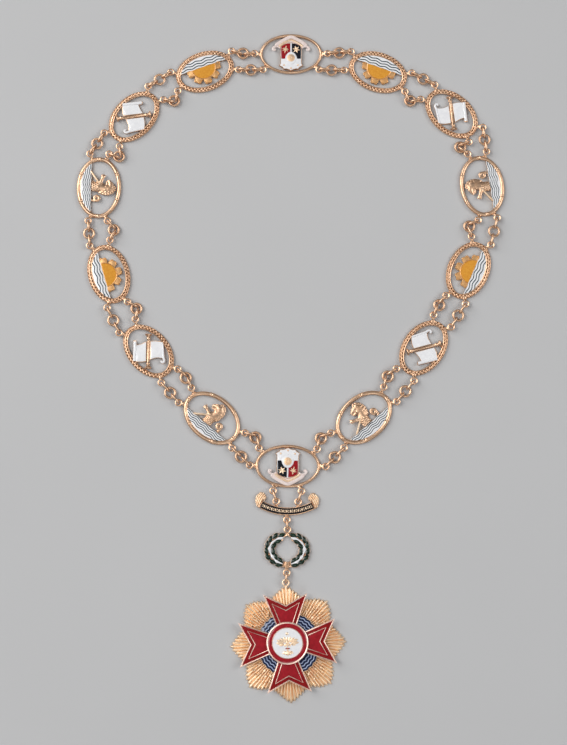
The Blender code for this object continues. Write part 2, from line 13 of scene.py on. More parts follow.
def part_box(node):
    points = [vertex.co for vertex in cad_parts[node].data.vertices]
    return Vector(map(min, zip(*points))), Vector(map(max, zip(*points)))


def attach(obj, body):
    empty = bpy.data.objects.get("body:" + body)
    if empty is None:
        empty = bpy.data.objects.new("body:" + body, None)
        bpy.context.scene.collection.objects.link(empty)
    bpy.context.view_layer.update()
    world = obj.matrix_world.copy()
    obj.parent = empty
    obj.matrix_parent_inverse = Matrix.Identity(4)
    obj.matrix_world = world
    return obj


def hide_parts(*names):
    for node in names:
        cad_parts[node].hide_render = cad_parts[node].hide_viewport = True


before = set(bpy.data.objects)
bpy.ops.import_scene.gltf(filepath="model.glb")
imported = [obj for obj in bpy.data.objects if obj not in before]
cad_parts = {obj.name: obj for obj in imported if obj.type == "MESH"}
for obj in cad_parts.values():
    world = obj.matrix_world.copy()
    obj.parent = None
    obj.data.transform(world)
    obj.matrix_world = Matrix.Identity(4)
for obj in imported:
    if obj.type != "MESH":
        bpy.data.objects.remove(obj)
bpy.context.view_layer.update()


# Table, lights and camera. The collar lies on a plain pale grey sheet under broad soft lamps, and the
# camera looks almost straight down on it, tipped a little towards the star's end.
MM = 0.001
TABLE_SIZE = 4.0
TABLE_DROP = 0.05 * MM
TABLE_GREY = (0.50, 0.50, 0.505)
LAMPS = (
    ("lamp_left", (-1.9, 1.1, 1.5), 1.7, 38.0, (1.0, 0.995, 0.98)),
    ("lamp_high_left", (-1.75, 0.3, 2.8), 1.5, 36.0, (1.0, 1.0, 0.995)),
    ("lamp_right", (1.95, 0.3, 1.8), 1.5, 28.0, (1.0, 1.0, 1.0)),
    ("lamp_foot", (0.3, -2.2, 2.0), 1.4, 17.0, (0.99, 0.995, 1.0)),
)
ROOM_COLOUR = (0.90, 0.92, 0.96, 1.0)
ROOM_STRENGTH = 0.106
CAMERA_AIM = (-0.0052, -0.0099, 0.0)
CAMERA_WAY = 1.045
CAMERA_TILT = math.radians(8.2)
CAMERA_LENS = 72.1


def add_node(tree, kind, sockets=None, **settings):
    """Adds a node, sets its properties and sets or links its inputs, by name or by number."""
    made = tree.nodes.new(kind)
    for key, value in settings.items():
        setattr(made, key, value)
    for key, value in (sockets or {}).items():
        if isinstance(value, bpy.types.NodeSocket):
            tree.links.new(value, made.inputs[key])
        else:
            made.inputs[key].default_value = value
    return made


def new_material(name):
    """Makes a material and returns it with its tree, its shader and the place on the object."""
    made = bpy.data.materials.new(name)
    made.use_nodes = True
    tree = made.node_tree
    place = add_node(tree, "ShaderNodeTexCoord").outputs["Object"]
    return made, tree, tree.nodes["Principled BSDF"], place


def mix_tones(tree, share, first, second):
    """Mixes two colours and returns the result."""
    sockets = {0: share, 6: (*first, 1.0), 7: (*second, 1.0)}
    return add_node(tree, "ShaderNodeMix", sockets, data_type="RGBA").outputs[2]


def table_sheet():
    """Pale grey matt sheet with a faint mottle."""
    made, tree, shader, place = new_material("table_sheet")
    cloud = add_node(tree, "ShaderNodeTexNoise", {"Vector": place, "Scale": 6.0, "Detail": 3.0})
    near, far = (tuple(c * share for c in TABLE_GREY) for share in (0.97, 1.03))
    tree.links.new(mix_tones(tree, cloud.outputs["Fac"], near, far), shader.inputs["Base Color"])
    shader.inputs["Roughness"].default_value = 0.85
    return made


half = TABLE_SIZE / 2
table_mesh = bpy.data.meshes.new("table")
corners = [(x * half, y * half, 0.0) for x, y in ((-1, -1), (1, -1), (1, 1), (-1, 1))]
table_mesh.from_pydata(corners, [], [(0, 1, 2, 3)])
table_mesh.materials.append(table_sheet())
table = bpy.data.objects.new("table", table_mesh)
table.location.z = -TABLE_DROP
bpy.context.collection.objects.link(table)

for name, place, size, power, colour in LAMPS:
    light = bpy.data.lights.new(name, "AREA")
    light.size = size
    light.energy = power
    light.color = colour
    lamp = bpy.data.objects.new(name, light)
    lamp.location = place
    lamp.rotation_euler = (-Vector(place)).to_track_quat("-Z", "Y").to_euler()
    bpy.context.collection.objects.link(lamp)
world = bpy.data.worlds.new("soft_room")
world.use_nodes = True
world.node_tree.nodes["Background"].inputs["Color"].default_value = ROOM_COLOUR
world.node_tree.nodes["Background"].inputs["Strength"].default_value = ROOM_STRENGTH
bpy.context.scene.world = world
bpy.context.scene.view_settings.view_transform = "Standard"

camera_data = bpy.data.cameras.new("camera")
camera_data.lens = CAMERA_LENS
camera_data.sensor_width = 36.0
camera = bpy.data.objects.new("camera", camera_data)
look_back = Vector((0.0, -math.sin(CAMERA_TILT), math.cos(CAMERA_TILT)))
camera.location = Vector(CAMERA_AIM) + look_back * CAMERA_WAY
camera.rotation_euler = (CAMERA_TILT, 0.0, 0.0)
bpy.context.collection.objects.link(camera)
bpy.context.scene.camera = camera


# Gilt metal. Every metal piece is cast or drawn silver with a rose-coloured gilding: bright where it is
# rubbed, a little duller and redder in between, with the fine unevenness of hand-finished castings.
GILT_BRIGHT = (0.86, 0.59, 0.405)
GILT_DEEP = (0.73, 0.45, 0.275)


def mottled(name, tones, gloss, cloud, ripple):
    """Makes a material whose tone and gloss wander between two values, with fine ripples.

    cloud is a noise's scale, detail, roughness and lower cut; ripple a scale, detail, strength and height."""
    made, tree, shader, place = new_material(name)
    scale, detail, rough, cut = cloud
    noise = add_node(tree, "ShaderNodeTexNoise", {
        "Vector": place, "Scale": scale, "Detail": detail, "Roughness": rough})
    spread = add_node(tree, "ShaderNodeMapRange", {0: noise.outputs["Fac"], 1: cut, 2: 1.0 - cut}).outputs[0]
    tree.links.new(mix_tones(tree, spread, *tones), shader.inputs["Base Color"])
    shine = add_node(tree, "ShaderNodeMapRange", {0: spread, 3: gloss[0], 4: gloss[1]})
    tree.links.new(shine.outputs[0], shader.inputs["Roughness"])
    scale, detail, strength, height = ripple
    waves = add_node(tree, "ShaderNodeTexNoise", {"Vector": place, "Scale": scale, "Detail": detail})
    bump = add_node(tree, "ShaderNodeBump", {
        "Strength": strength, "Distance": height * MM, "Height": waves.outputs["Fac"]})
    tree.links.new(bump.outputs[0], shader.inputs["Normal"])
    return made, shader


def gilt_metal(name, bright, deep, roughness, grain):
    """Gilding with the clouds and the fine grain of a casting."""
    made, shader = mottled(name, (bright, deep), (roughness, roughness + 0.14),
                           (330.0, 4.0, 0.6, 0.3), (1500.0, 3.0, grain, 0.06))
    shader.inputs["Metallic"].default_value = 1.0
    return made


gilt = gilt_metal("rose_gilt", GILT_BRIGHT, GILT_DEEP, 0.34, 0.35)


# Double chain. Each stretch is an edge-on oval link, a flat round ring and a second oval link, drawn
# from round wire and closed by soldering. The ovals pass through the eyes of the medallions.
LINK_SPACING = 7.6
LINK_RISE = 2.0
LINK_WIRE = 1.4
LINK_LEVEL = 2.7
RING_RADIUS = 3.55
RING_WIRE = 1.5
WIRE_SWELL = 1.1
TAUT_REACH = 10.0
CLEARANCE = 0.3
CONTACT_BITE = 0.3
BAR_ASIDE = 0.85
RING_LAG = 1.0
WIRE_FLAT = math.cos(math.pi / 10)
EYE_STANDOFF = 3.8
BACK_LEVEL = 0.01 * MM
MERGE_REACH = 0.0005
SHARP_ANGLE = math.radians(38)
NECK_MIDDLE = Vector((0.0, 70.0))
OVAL_SIZES = {
    "gear": (43.0, 29.4, (-22.0, 22.0)),
    "scroll": (43.0, 29.4, (-22.0, 22.0)),
    "sea_lion": (44.6, 31.8, (-19.0, 19.0)),
    "shield": (45.0, 29.8, (0.0, 38.0)),
}
ROUTE = (
    "shield_medallion_1", "sea_lion_medallion_1", "scroll_medallion_1", "gear_medallion_1",
    "sea_lion_medallion_2", "scroll_medallion_2", "gear_medallion_2", "shield_medallion_2",
    "gear_medallion_3", "scroll_medallion_3", "sea_lion_medallion_3", "gear_medallion_4",
    "scroll_medallion_4", "sea_lion_medallion_4",
)


def new_tree(name, **inputs):
    """Starts a Geometry Nodes tree and returns it with its input node; inputs are socket kinds."""
    tree = bpy.data.node_groups.new(name, "GeometryNodeTree")
    tree.is_modifier = True
    tree.interface.new_socket("Geometry", in_out="OUTPUT", socket_type="NodeSocketGeometry")
    tree.interface.new_socket("Geometry", in_out="INPUT", socket_type="NodeSocketGeometry")
    for key, kind in inputs.items():
        tree.interface.new_socket(key, in_out="INPUT", socket_type="NodeSocket" + kind)
    return tree, add_node(tree, "NodeGroupInput").outputs


def end_tree(tree, geometry, material):
    """Ends a tree: instances made real and one material."""
    real = add_node(tree, "GeometryNodeRealizeInstances", {"Geometry": geometry})
    painted = add_node(tree, "GeometryNodeSetMaterial", {"Geometry": real.outputs[0], "Material": material})
    add_node(tree, "NodeGroupOutput", {0: painted.outputs[0]})


def run_tree(tree, base, **values):
    """Runs a tree on a mesh and returns the plain mesh that it makes."""
    carrier = bpy.data.objects.new(tree.name, base)
    bpy.context.collection.objects.link(carrier)
    modifier = carrier.modifiers.new(tree.name, "NODES")
    modifier.node_group = tree
    for socket in tree.interface.items_tree:
        if socket.in_out == "INPUT" and socket.name in values:
            modifier[socket.identifier] = values[socket.name]
    view = bpy.context.evaluated_depsgraph_get()
    made = bpy.data.meshes.new_from_object(carrier.evaluated_get(view))
    bpy.data.objects.remove(carrier)
    return made


def named_value(tree, name, kind):
    """Reads a value that the points carry."""
    return add_node(tree, "GeometryNodeInputNamedAttribute", {"Name": name}, data_type=kind).outputs[0]


def round_path(tree, resolution, across, along):
    """Makes a circle stretched to an oval, both given as numbers or sockets."""
    circle = add_node(tree, "GeometryNodeCurvePrimitiveCircle", {"Resolution": resolution, "Radius": 1.0})
    shape = add_node(tree, "ShaderNodeCombineXYZ", {0: across, 1: along, 2: 1.0})
    oval = add_node(tree, "GeometryNodeTransform", {"Geometry": circle.outputs[0], "Scale": shape.outputs[0]})
    return oval.outputs[0]


def spots_mesh(name, spots, turns, sizes=None):
    """Makes loose points that carry a turn and a size, for a tree that sets a thing on each."""
    mesh = bpy.data.meshes.new(name)
    mesh.from_pydata([tuple(spot) for spot in spots], [], [])
    for key, rows in (("turn", turns), ("size", sizes or [(1.0, 1.0, 1.0)] * len(spots))):
        layer = mesh.attributes.new(key, "FLOAT_VECTOR", "POINT")
        layer.data.foreach_set("vector", [number for row in rows for number in row])
    return mesh


def link_tree():
    """Sets an oval wire link, or a round ring, on each point."""
    tree, given = new_tree(
        "wire_links", HalfLength="Float", HalfWidth="Float", Wire="Float", Metal="Material")
    oval = round_path(tree, 28, given["HalfLength"], given["HalfWidth"])
    thickness = add_node(tree, "ShaderNodeMath", {0: given["Wire"], 1: 0.5}, operation="MULTIPLY").outputs[0]
    profile = add_node(tree, "GeometryNodeCurvePrimitiveCircle", {"Resolution": 10, "Radius": thickness})
    wire = add_node(tree, "GeometryNodeCurveToMesh", {0: oval, 1: profile.outputs[0]})
    links = add_node(tree, "GeometryNodeInstanceOnPoints", {
        "Points": given["Geometry"], "Instance": wire.outputs[0],
        "Rotation": named_value(tree, "turn", "FLOAT_VECTOR")})
    end_tree(tree, links.outputs[0], given["Metal"])
    return tree


def spin(x, y, turn):
    """Turns a flat vector about Z, in radians."""
    return Vector((x * math.cos(turn) - y * math.sin(turn), x * math.sin(turn) + y * math.cos(turn)))


def lie_of(node):
    """Returns the middle and the turn of a medallion, from the flat back of its frame, +Y to the neck."""
    corners = [v.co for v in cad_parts[node].data.vertices if v.co.z < BACK_LEVEL]
    points = np.array(sorted({(round(c.x, 6), round(c.y, 6)) for c in corners}))
    middle = points.mean(axis=0)
    long_way = np.linalg.svd(points - middle)[2][0]
    turn = math.atan2(long_way[1], long_way[0])
    middle = Vector(middle) / MM
    if spin(0.0, 1.0, turn).dot(NECK_MIDDLE - middle) < 0:
        turn += math.pi
    return middle, turn


def on_oval(half_length, half_width, turn, out):
    """Returns a point at a turn round an oval in degrees, set out square to its edge."""
    angle = math.radians(turn)
    way = Vector((math.cos(angle) / half_length, math.sin(angle) / half_width)).normalized()
    return Vector((half_length * math.cos(angle), half_width * math.sin(angle))) + way * out, way


def eye_hole(node, eye, end):
    """Returns the hole of a medallion's outer (0) or inner (1) eye, leading (1) or trailing (-1)."""
    length, width, turns = OVAL_SIZES[node.rsplit("_medallion", 1)[0]]
    middle, turn = lie_of(node)
    hole = on_oval(length / 2, width / 2, turns[eye], EYE_STANDOFF)[0]
    return middle + spin(end * hole.x, hole.y, turn)


def stretch_of_chain(start, end):
    """Returns the middles and headings of the two oval links, and the middle of the ring between them."""
    span = (end - start).length
    half_span = span / 2 - min(max(span / 2 - TAUT_REACH, 0.0), CLEARANCE)
    lean = math.acos(min((half_span - BAR_ASIDE) / LINK_SPACING, 1.0))
    bow = max(LINK_SPACING * math.sin(lean) - RING_LAG, 0.0)
    way = spin(1.0, 0.0, lean)
    bar = way * LINK_SPACING - Vector((half_span, bow))
    from_bar = bar.dot(way) + math.sqrt(bar.dot(way) ** 2 - bar.dot(bar) + RING_RADIUS ** 2)
    crossing = min(abs(LINK_SPACING / 2 - from_bar) / (LINK_SPACING / 2) * WIRE_FLAT, 1.0)
    level = LINK_LEVEL - LINK_RISE * math.sqrt(1 - crossing ** 2) + (LINK_WIRE + RING_WIRE) / 2 - CONTACT_BITE
    middle = (start + end) / 2
    heading = math.atan2(end.y - start.y, end.x - start.x)
    ovals = []
    for side in (-1, 1):
        local = Vector((side * half_span, 0.0)) + Vector((-side * way.x, way.y)) * LINK_SPACING / 2
        ovals.append(((*(middle + spin(*local, heading)), LINK_LEVEL), heading - side * lean))
    return ovals, (*(middle + spin(0.0, bow, heading)), level)


def join_meshes(name, meshes):
    """Joins closed shells into one mesh, its doubles merged, its faces outwards and its edges softened."""
    shape = bmesh.new()
    for mesh in meshes:
        shape.from_mesh(mesh)
    bmesh.ops.remove_doubles(shape, verts=shape.verts, dist=MERGE_REACH)
    bmesh.ops.recalc_face_normals(shape, faces=shape.faces)
    for face in shape.faces:
        face.smooth = True
    joined = bpy.data.meshes.new(name)
    shape.to_mesh(joined)
    shape.free()
    joined.set_sharp_from_angle(angle=SHARP_ANGLE)
    return joined


def add_piece(name, mesh, material, nodes=()):
    """Puts a finished mesh, in millimetres, in the scene as a piece that rides with the collar."""
    mesh.transform(Matrix.Scale(MM, 4))
    mesh.materials.clear()
    mesh.materials.append(material)
    piece = bpy.data.objects.new(name, mesh)
    bpy.context.collection.objects.link(piece)
    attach(piece, "root")
    if nodes:
        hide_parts(*nodes)


wire_links = link_tree()
oval_spots, oval_turns, ring_spots, chain_nodes = [], [], [], []
for k, node in enumerate(ROUTE):
    for eye, side in enumerate(("outer", "inner")):
        ovals, ring = stretch_of_chain(eye_hole(node, eye, 1), eye_hole(ROUTE[(k + 1) % len(ROUTE)], eye, -1))
        for spot, heading in ovals:
            oval_spots.append(spot)
            oval_turns.append((math.pi / 2, 0.0, heading))
        ring_spots.append(ring)
        chain_nodes.append(f"chain_{k + 1}_{side}")
ovals = run_tree(wire_links, spots_mesh("oval_spots", oval_spots, oval_turns),
                 HalfLength=LINK_SPACING / 2, HalfWidth=LINK_RISE, Wire=WIRE_SWELL * LINK_WIRE, Metal=gilt)
rings = run_tree(wire_links, spots_mesh("ring_spots", ring_spots, [(0.0, 0.0, 0.0)] * len(ring_spots)),
                 HalfLength=RING_RADIUS, HalfWidth=RING_RADIUS, Wire=WIRE_SWELL * RING_WIRE, Metal=gilt)
add_piece("double_chain", join_meshes("double_chain", [ovals, rings]), gilt, chain_nodes)


# Eyes. Each medallion, the banner, the wreath and the star are hung by wire eyes, each a small ring on
# a cast foot that is soldered into the edge of its piece.
EYE_RADIUS = 2.1
EYE_WIRE = 1.15
EYE_STEPS = 20
EYE_SIDES = 8
FOOT_SIDES = 12
PENDANT_EYE_TURNS = (-67.0, -113.0)


def round_steps(count):
    """Returns the cosine and the sine of evenly spaced turns."""
    return [(math.cos(2 * math.pi * k / count), math.sin(2 * math.pi * k / count)) for k in range(count)]


def shells_mesh(name, shells):
    """Makes shells, each of rows of points that close on themselves; the rows close too, or end in faces."""
    points, faces = [], []
    for rows, closed in shells:
        first, size = len(points), len(rows[0])
        for row in rows:
            points += [tuple(point) for point in row]
        starts = list(range(first, len(points), size))
        for here, there in zip(starts, starts[1:] + (starts[:1] if closed else [])):
            for k in range(size):
                nxt = (k + 1) % size
                faces.append((here + k, here + nxt, there + nxt, there + k))
        if not closed:
            faces.append(tuple(reversed(range(first, first + size))))
            faces.append(tuple(range(starts[-1], starts[-1] + size)))
    mesh = bpy.data.meshes.new(name)
    mesh.from_pydata(points, [], faces)
    return mesh


def eye_mesh(root, flare, drop=1.45):
    """Makes an eye with its hole at the origin, its foot running back along -X to a wider root."""
    ring = []
    for across, along in round_steps(EYE_STEPS):
        row = []
        for out, up in round_steps(EYE_SIDES):
            reach = EYE_RADIUS + EYE_WIRE / 2 * out
            row.append((reach * across, reach * along, LINK_LEVEL + EYE_WIRE / 2 * up))
        ring.append(row)
    waist = (-(root + EYE_RADIUS) / 2 - 0.3, (flare + 0.85) / 2, 0.65, (LINK_LEVEL + drop) / 2)
    foot = []
    for x, half_width, half_height, level in (
            (-EYE_RADIUS, 0.80, 0.45, LINK_LEVEL), (-EYE_RADIUS - 0.5, 0.85, 0.55, LINK_LEVEL - 0.1), waist,
            (-root, flare, 0.75, drop), (-root - 1.0, flare * 1.15, 0.75, drop)):
        foot.append([(x, half_width * out, level + half_height * up) for out, up in round_steps(FOOT_SIDES)])
    return shells_mesh("eye", [(ring, True), (foot, False)])


def moved(mesh, place, turn=0.0):
    """Returns a copy of a mesh, turned about Z in radians and moved to its place."""
    copy = mesh.copy()
    copy.transform(Matrix.Translation(place) @ Matrix.Rotation(turn, 4, "Z"))
    return copy


def oval_eyes(motif, flare, extra=()):
    """Makes the four eyes of a medallion, and any extra ones that carry the pendant."""
    length, width, turns = OVAL_SIZES[motif]
    eyes = []
    for turn in (*turns, *(180.0 - turn for turn in turns), *extra):
        hole, way = on_oval(length / 2, width / 2, turn, EYE_STANDOFF)
        eyes.append(moved(eye_mesh(EYE_STANDOFF, flare), hole.to_3d(), math.atan2(way.y, way.x)))
    return eyes


# Plaited frames of the gear and scroll medallions. A thin plait of three gilt strands, tied by slanting
# grains, runs round the oval between two bright rolled lips, over a floor coloured dark brown as painted
# shade.
ROPE_HALF_LENGTH = 21.5
ROPE_HALF_WIDTH = 14.7
ROPE_CENTRE = 1.45
OUTER_LIP = (0.34, 0.36, 0.95, 1.15)
INNER_LIP = (2.98, 0.56, 0.85, 1.55)
CHANNEL_FLOOR = (1.6, 1.35, 0.5, 0.7)
PLAIT_PERIODS = 14
PLAIT_SWING = 0.24
PLAIT_RISE = 0.16
PLAIT_LEVEL = 1.75
STRAND_RADIUS = 0.28
GRAIN_ROWS = ((0.62, 0.25, 38.0), (-0.66, 0.75, -38.0))
SMALL_EYE_FLARE = 1.5
# The channel floor's dark brown gilt is painted shade in the recess under the plait.
pit_gilt = gilt_metal("pit_gilt", (0.36, 0.21, 0.10), (0.20, 0.11, 0.05), 0.55, 0.6)


def plait_tree():
    """Plaits three strands round an oval: each swings aside once, and rises twice, in every period."""
    tree, given = new_tree("plait", HalfLength="Float", HalfWidth="Float", Swing="Float", Rise="Float",
                           Level="Float", Wire="Float", Periods="Float", Metal="Material")

    def reckon(operation, *values):
        return add_node(tree, "ShaderNodeMath", dict(enumerate(values)), operation=operation).outputs[0]

    oval = round_path(tree, 240, given["HalfLength"], given["HalfWidth"])
    even = add_node(tree, "GeometryNodeResampleCurve", {"Curve": oval, "Count": 156}).outputs[0]
    along = add_node(tree, "GeometryNodeSplineParameter").outputs["Factor"]
    tangent = add_node(tree, "GeometryNodeInputTangent").outputs[0]
    up = (0.0, 0.0, 1.0)
    out = add_node(tree, "ShaderNodeVectorMath", {0: tangent, 1: up}, operation="CROSS_PRODUCT").outputs[0]
    profile = add_node(tree, "GeometryNodeCurvePrimitiveCircle", {"Resolution": 7, "Radius": given["Wire"]})
    joined = add_node(tree, "GeometryNodeJoinGeometry")
    for third in range(3):
        count = reckon("ADD", reckon("MULTIPLY", along, given["Periods"]), third / 3)
        angle = reckon("MULTIPLY", count, 2 * math.pi)
        aside = reckon("MULTIPLY", reckon("SINE", angle), given["Swing"])
        heave = reckon("SINE", reckon("MULTIPLY", angle, 2.0))
        lift = reckon("MULTIPLY_ADD", heave, given["Rise"], given["Level"])
        flat = add_node(tree, "ShaderNodeVectorMath", {0: out, "Scale": aside}, operation="SCALE").outputs[0]
        high = add_node(tree, "ShaderNodeCombineXYZ", {2: lift}).outputs[0]
        shift = add_node(tree, "ShaderNodeVectorMath", {0: flat, 1: high}, operation="ADD").outputs[0]
        strand = add_node(tree, "GeometryNodeSetPosition", {"Geometry": even, "Offset": shift})
        wire = add_node(tree, "GeometryNodeCurveToMesh", {0: strand.outputs[0], 1: profile.outputs[0]})
        tree.links.new(wire.outputs[0], joined.inputs[0])
    end_tree(tree, joined.outputs[0], given["Metal"])
    return tree


def wire_tree():
    """Draws a wire along each path: its profile is an oval, and the path's swell makes it thick or thin."""
    tree, given = new_tree("drawn_wire", HalfWidth="Float", HalfHeight="Float", Sides="Int", Metal="Material")
    path = add_node(tree, "GeometryNodeMeshToCurve", {0: given["Geometry"]})
    level = add_node(tree, "GeometryNodeSetCurveNormal", {0: path.outputs[0]}, mode="Z_UP")
    wire = add_node(tree, "GeometryNodeCurveToMesh", {
        0: level.outputs[0], 1: round_path(tree, given["Sides"], given["HalfWidth"], given["HalfHeight"]),
        "Scale": named_value(tree, "swell", "FLOAT"), "Fill Caps": True})
    end_tree(tree, wire.outputs[0], given["Metal"])
    return tree


drawn_wire = wire_tree()


def draw_wires(paths, half_width, half_height, sides=8, closed=False):
    """Draws wires along paths, each a row of points, or of points and swells."""
    points, edges, swells = [], [], []
    for path in paths:
        first = len(points)
        for item in path:
            points.append(tuple(item[:3]))
            swells.append(item[3] if len(item) > 3 else 1.0)
        edges += [(k, k + 1) for k in range(first, len(points) - 1)]
        if closed:
            edges.append((len(points) - 1, first))
    mesh = bpy.data.meshes.new("path")
    mesh.from_pydata(points, edges, [])
    mesh.attributes.new("swell", "FLOAT", "POINT").data.foreach_set("value", swells)
    return run_tree(drawn_wire, mesh, HalfWidth=half_width, HalfHeight=half_height, Sides=sides, Metal=gilt)


def oval_path(half_length, half_width, level, steps=120):
    """Returns evenly turned points round an oval at a level."""
    return [(half_length * across, half_width * along, level) for across, along in round_steps(steps)]


def rope_band(depth, half_width, half_height, level):
    """Makes a flattened ring that follows the plaited frame at a depth from its edge."""
    path = oval_path(ROPE_HALF_LENGTH - depth, ROPE_HALF_WIDTH - depth, level)
    return draw_wires([path], half_width, half_height, sides=12, closed=True)


def leaf_mesh(length, width, bottom, edge, crown, vein=0.0, steps=9):
    """Makes a pointed leaf along +X about its middle, domed, with a raised or sunk middle vein."""
    rows = []
    for k in range(steps + 1):
        share = k / steps
        half_width = width / 2 * max(math.sin(math.pi * share) ** 0.75, 0.04)
        x = length * (share - 0.5)
        dome = math.sin(math.pi * share)
        row = [(x, -half_width, bottom), (x, -half_width, edge)]
        for across in (-0.6, -0.25, 0.0, 0.25, 0.6):
            lift = edge + (crown - edge) * (1 - across ** 2) * dome + (vein * dome if across == 0.0 else 0.0)
            row.append((x, half_width * across, lift))
        rows.append(row + [(x, half_width, edge), (x, half_width, bottom)])
    return shells_mesh("leaf", [(rows, False)])


def item_tree():
    """Sets a copy of an item on each point, turned and sized by the point."""
    tree, given = new_tree("set_items", Item="Object", Metal="Material")
    item = add_node(tree, "GeometryNodeObjectInfo", {"Object": given["Item"]})
    copies = add_node(tree, "GeometryNodeInstanceOnPoints", {
        "Points": given["Geometry"], "Instance": item.outputs["Geometry"],
        "Rotation": named_value(tree, "turn", "FLOAT_VECTOR"),
        "Scale": named_value(tree, "size", "FLOAT_VECTOR")})
    end_tree(tree, copies.outputs[0], given["Metal"])
    return tree


set_items = item_tree()


def set_on(item_mesh, spots, turns, sizes=None):
    """Sets copies of a mesh on spots and returns them as one mesh; turns are about Z, in radians."""
    item = bpy.data.objects.new("item", item_mesh)
    bpy.context.collection.objects.link(item)
    points = spots_mesh("spots", spots, [(0.0, 0.0, turn) for turn in turns], sizes)
    made = run_tree(set_items, points, Item=item, Metal=gilt)
    bpy.data.objects.remove(item)
    return made


def grain_spots(aside, phase, lean):
    """Returns the places and turns of the grains that tie the plait to the lip on one side."""
    steps = 2000
    count = 3 * PLAIT_PERIODS
    half_length, half_width = ROPE_HALF_LENGTH - ROPE_CENTRE, ROPE_HALF_WIDTH - ROPE_CENTRE
    ring = oval_path(half_length, half_width, 0.0, steps)
    runs = np.cumsum([0.0] + [math.dist(ring[k], ring[(k + 1) % steps]) for k in range(steps)])
    spots, turns = [], []
    for k in range(count):
        step = int(np.searchsorted(runs, (k + phase) / count * runs[-1])) % steps
        spot, way = on_oval(half_length, half_width, 360.0 * step / steps, aside)
        spots.append((*spot, 0.0))
        turns.append(math.atan2(way.y, way.x) + math.radians(lean))
    return spots, turns


plait = run_tree(
    plait_tree(), bpy.data.meshes.new("empty"), HalfLength=ROPE_HALF_LENGTH - ROPE_CENTRE,
    HalfWidth=ROPE_HALF_WIDTH - ROPE_CENTRE, Swing=PLAIT_SWING, Rise=PLAIT_RISE, Level=PLAIT_LEVEL,
    Wire=STRAND_RADIUS, Periods=float(PLAIT_PERIODS), Metal=gilt)
grains, grain_turns = [], []
for row in GRAIN_ROWS:
    spots, turns = grain_spots(*row)
    grains += spots
    grain_turns += turns
rope_frame = [plait, rope_band(*OUTER_LIP), rope_band(*INNER_LIP),
              set_on(leaf_mesh(1.5, 1.35, 0.8, 1.8, 2.1, steps=4), grains, grain_turns)]
# The floor band under the plait carries the dark painted shade.
rope_shade_floor = [rope_band(*CHANNEL_FLOOR)]


# Bamboo frames of the sea lion medallions. A rounded tube with a slight waist between its six joints,
# each joint a raised pair of lips.
BAMBOO_HALF_LENGTH = 22.3
BAMBOO_HALF_WIDTH = 15.9
BAMBOO_HALF_BAND = 1.5
BAMBOO_HALF_HEIGHT = 1.28
BAMBOO_JOINTS = (-4.0, 64.0, 120.0, 180.0, 243.0, 300.0)
FRAME_LEVEL = 1.38


def bamboo_frame_mesh():
    """Makes the jointed tube round the oval."""
    path = oval_path(
        BAMBOO_HALF_LENGTH - BAMBOO_HALF_BAND, BAMBOO_HALF_WIDTH - BAMBOO_HALF_BAND, FRAME_LEVEL, 300)
    joints = [path[round(turn / 360.0 * len(path)) % len(path)] for turn in BAMBOO_JOINTS]
    swelled = []
    for point in path:
        away = min(math.dist(point, joint) for joint in joints)
        lips = 0.11 * math.exp(-((away - 0.7) / 0.45) ** 2) - 0.12 * math.exp(-(away / 0.3) ** 2)
        waist = -0.07 * min(away / 8.0, 1.0) ** 0.5
        swelled.append((*point, 1.0 + lips + waist))
    return draw_wires([swelled], BAMBOO_HALF_BAND, BAMBOO_HALF_HEIGHT, sides=14, closed=True)


# Plain frames of the shield medallions. A smooth rounded band of gilt metal runs round the oval, with
# broad cast feet under its eyes.
PLAIN_HALF_LENGTH = 22.5
PLAIN_HALF_WIDTH = 14.9
PLAIN_HALF_BAND = 1.0
PLAIN_HALF_HEIGHT = 1.3
BROAD_EYE_FLARE = 2.3


def plain_frame_mesh():
    """Makes the smooth band round the oval."""
    path = oval_path(PLAIN_HALF_LENGTH - PLAIN_HALF_BAND, PLAIN_HALF_WIDTH - PLAIN_HALF_BAND, FRAME_LEVEL)
    return draw_wires([path], PLAIN_HALF_BAND, PLAIN_HALF_HEIGHT, sides=14, closed=True)


# Enamels. Glass fused into the gilt plates: glossy, very slightly wavy, its colour thicker and thinner
# in small clouds.
def enamel(name, thin, thick, cloud_scale=420.0):
    """Fused glass between two near tones."""
    made, shader = mottled(
        name, (thin, thick), (0.12, 0.22), (cloud_scale, 3.0, 0.5, 0.32), (700.0, 2.0, 0.25, 0.05))
    shader.inputs["Coat Weight"].default_value = 0.2
    shader.inputs["Coat Roughness"].default_value = 0.06
    return made


white_enamel = enamel("white_enamel", (0.86, 0.86, 0.87), (0.79, 0.79, 0.815))


def inset(points, depth):
    """Moves each edge of a counter-clockwise outline inward by a depth."""
    moved_points = []
    for k, point in enumerate(points):
        here = Vector(point)
        before = (here - Vector(points[k - 1])).normalized()
        after = (Vector(points[(k + 1) % len(points)]) - here).normalized()
        square = Vector((-before.y - after.y, before.x + after.x))
        moved_points.append(tuple(here + square * depth / max(1 + before.dot(after), 0.2)))
    return moved_points


def at_level(points, level):
    """Sets flat points at a level."""
    return [(*point[:2], level) for point in points]


def plate_rows(outline, bottom, top, round_off):
    """Returns the rows of a plate with a rounded upper edge."""
    bevel = 0.29 * round_off
    steps = ((0.0, bottom), (0.0, top - round_off), (bevel, top - bevel), (round_off, top))
    return [at_level(inset(outline, depth), level) for depth, level in steps]


def plates_mesh(name, *plates):
    """Makes plates, each an outline with its bottom, its top and the round-off of its edge."""
    mesh = shells_mesh(name, [(plate_rows(*plate), False) for plate in plates])
    shape = bmesh.new()
    shape.from_mesh(mesh)
    bmesh.ops.triangulate(shape, faces=[face for face in shape.faces if len(face.verts) > 4])
    shape.to_mesh(mesh)
    shape.free()
    return mesh


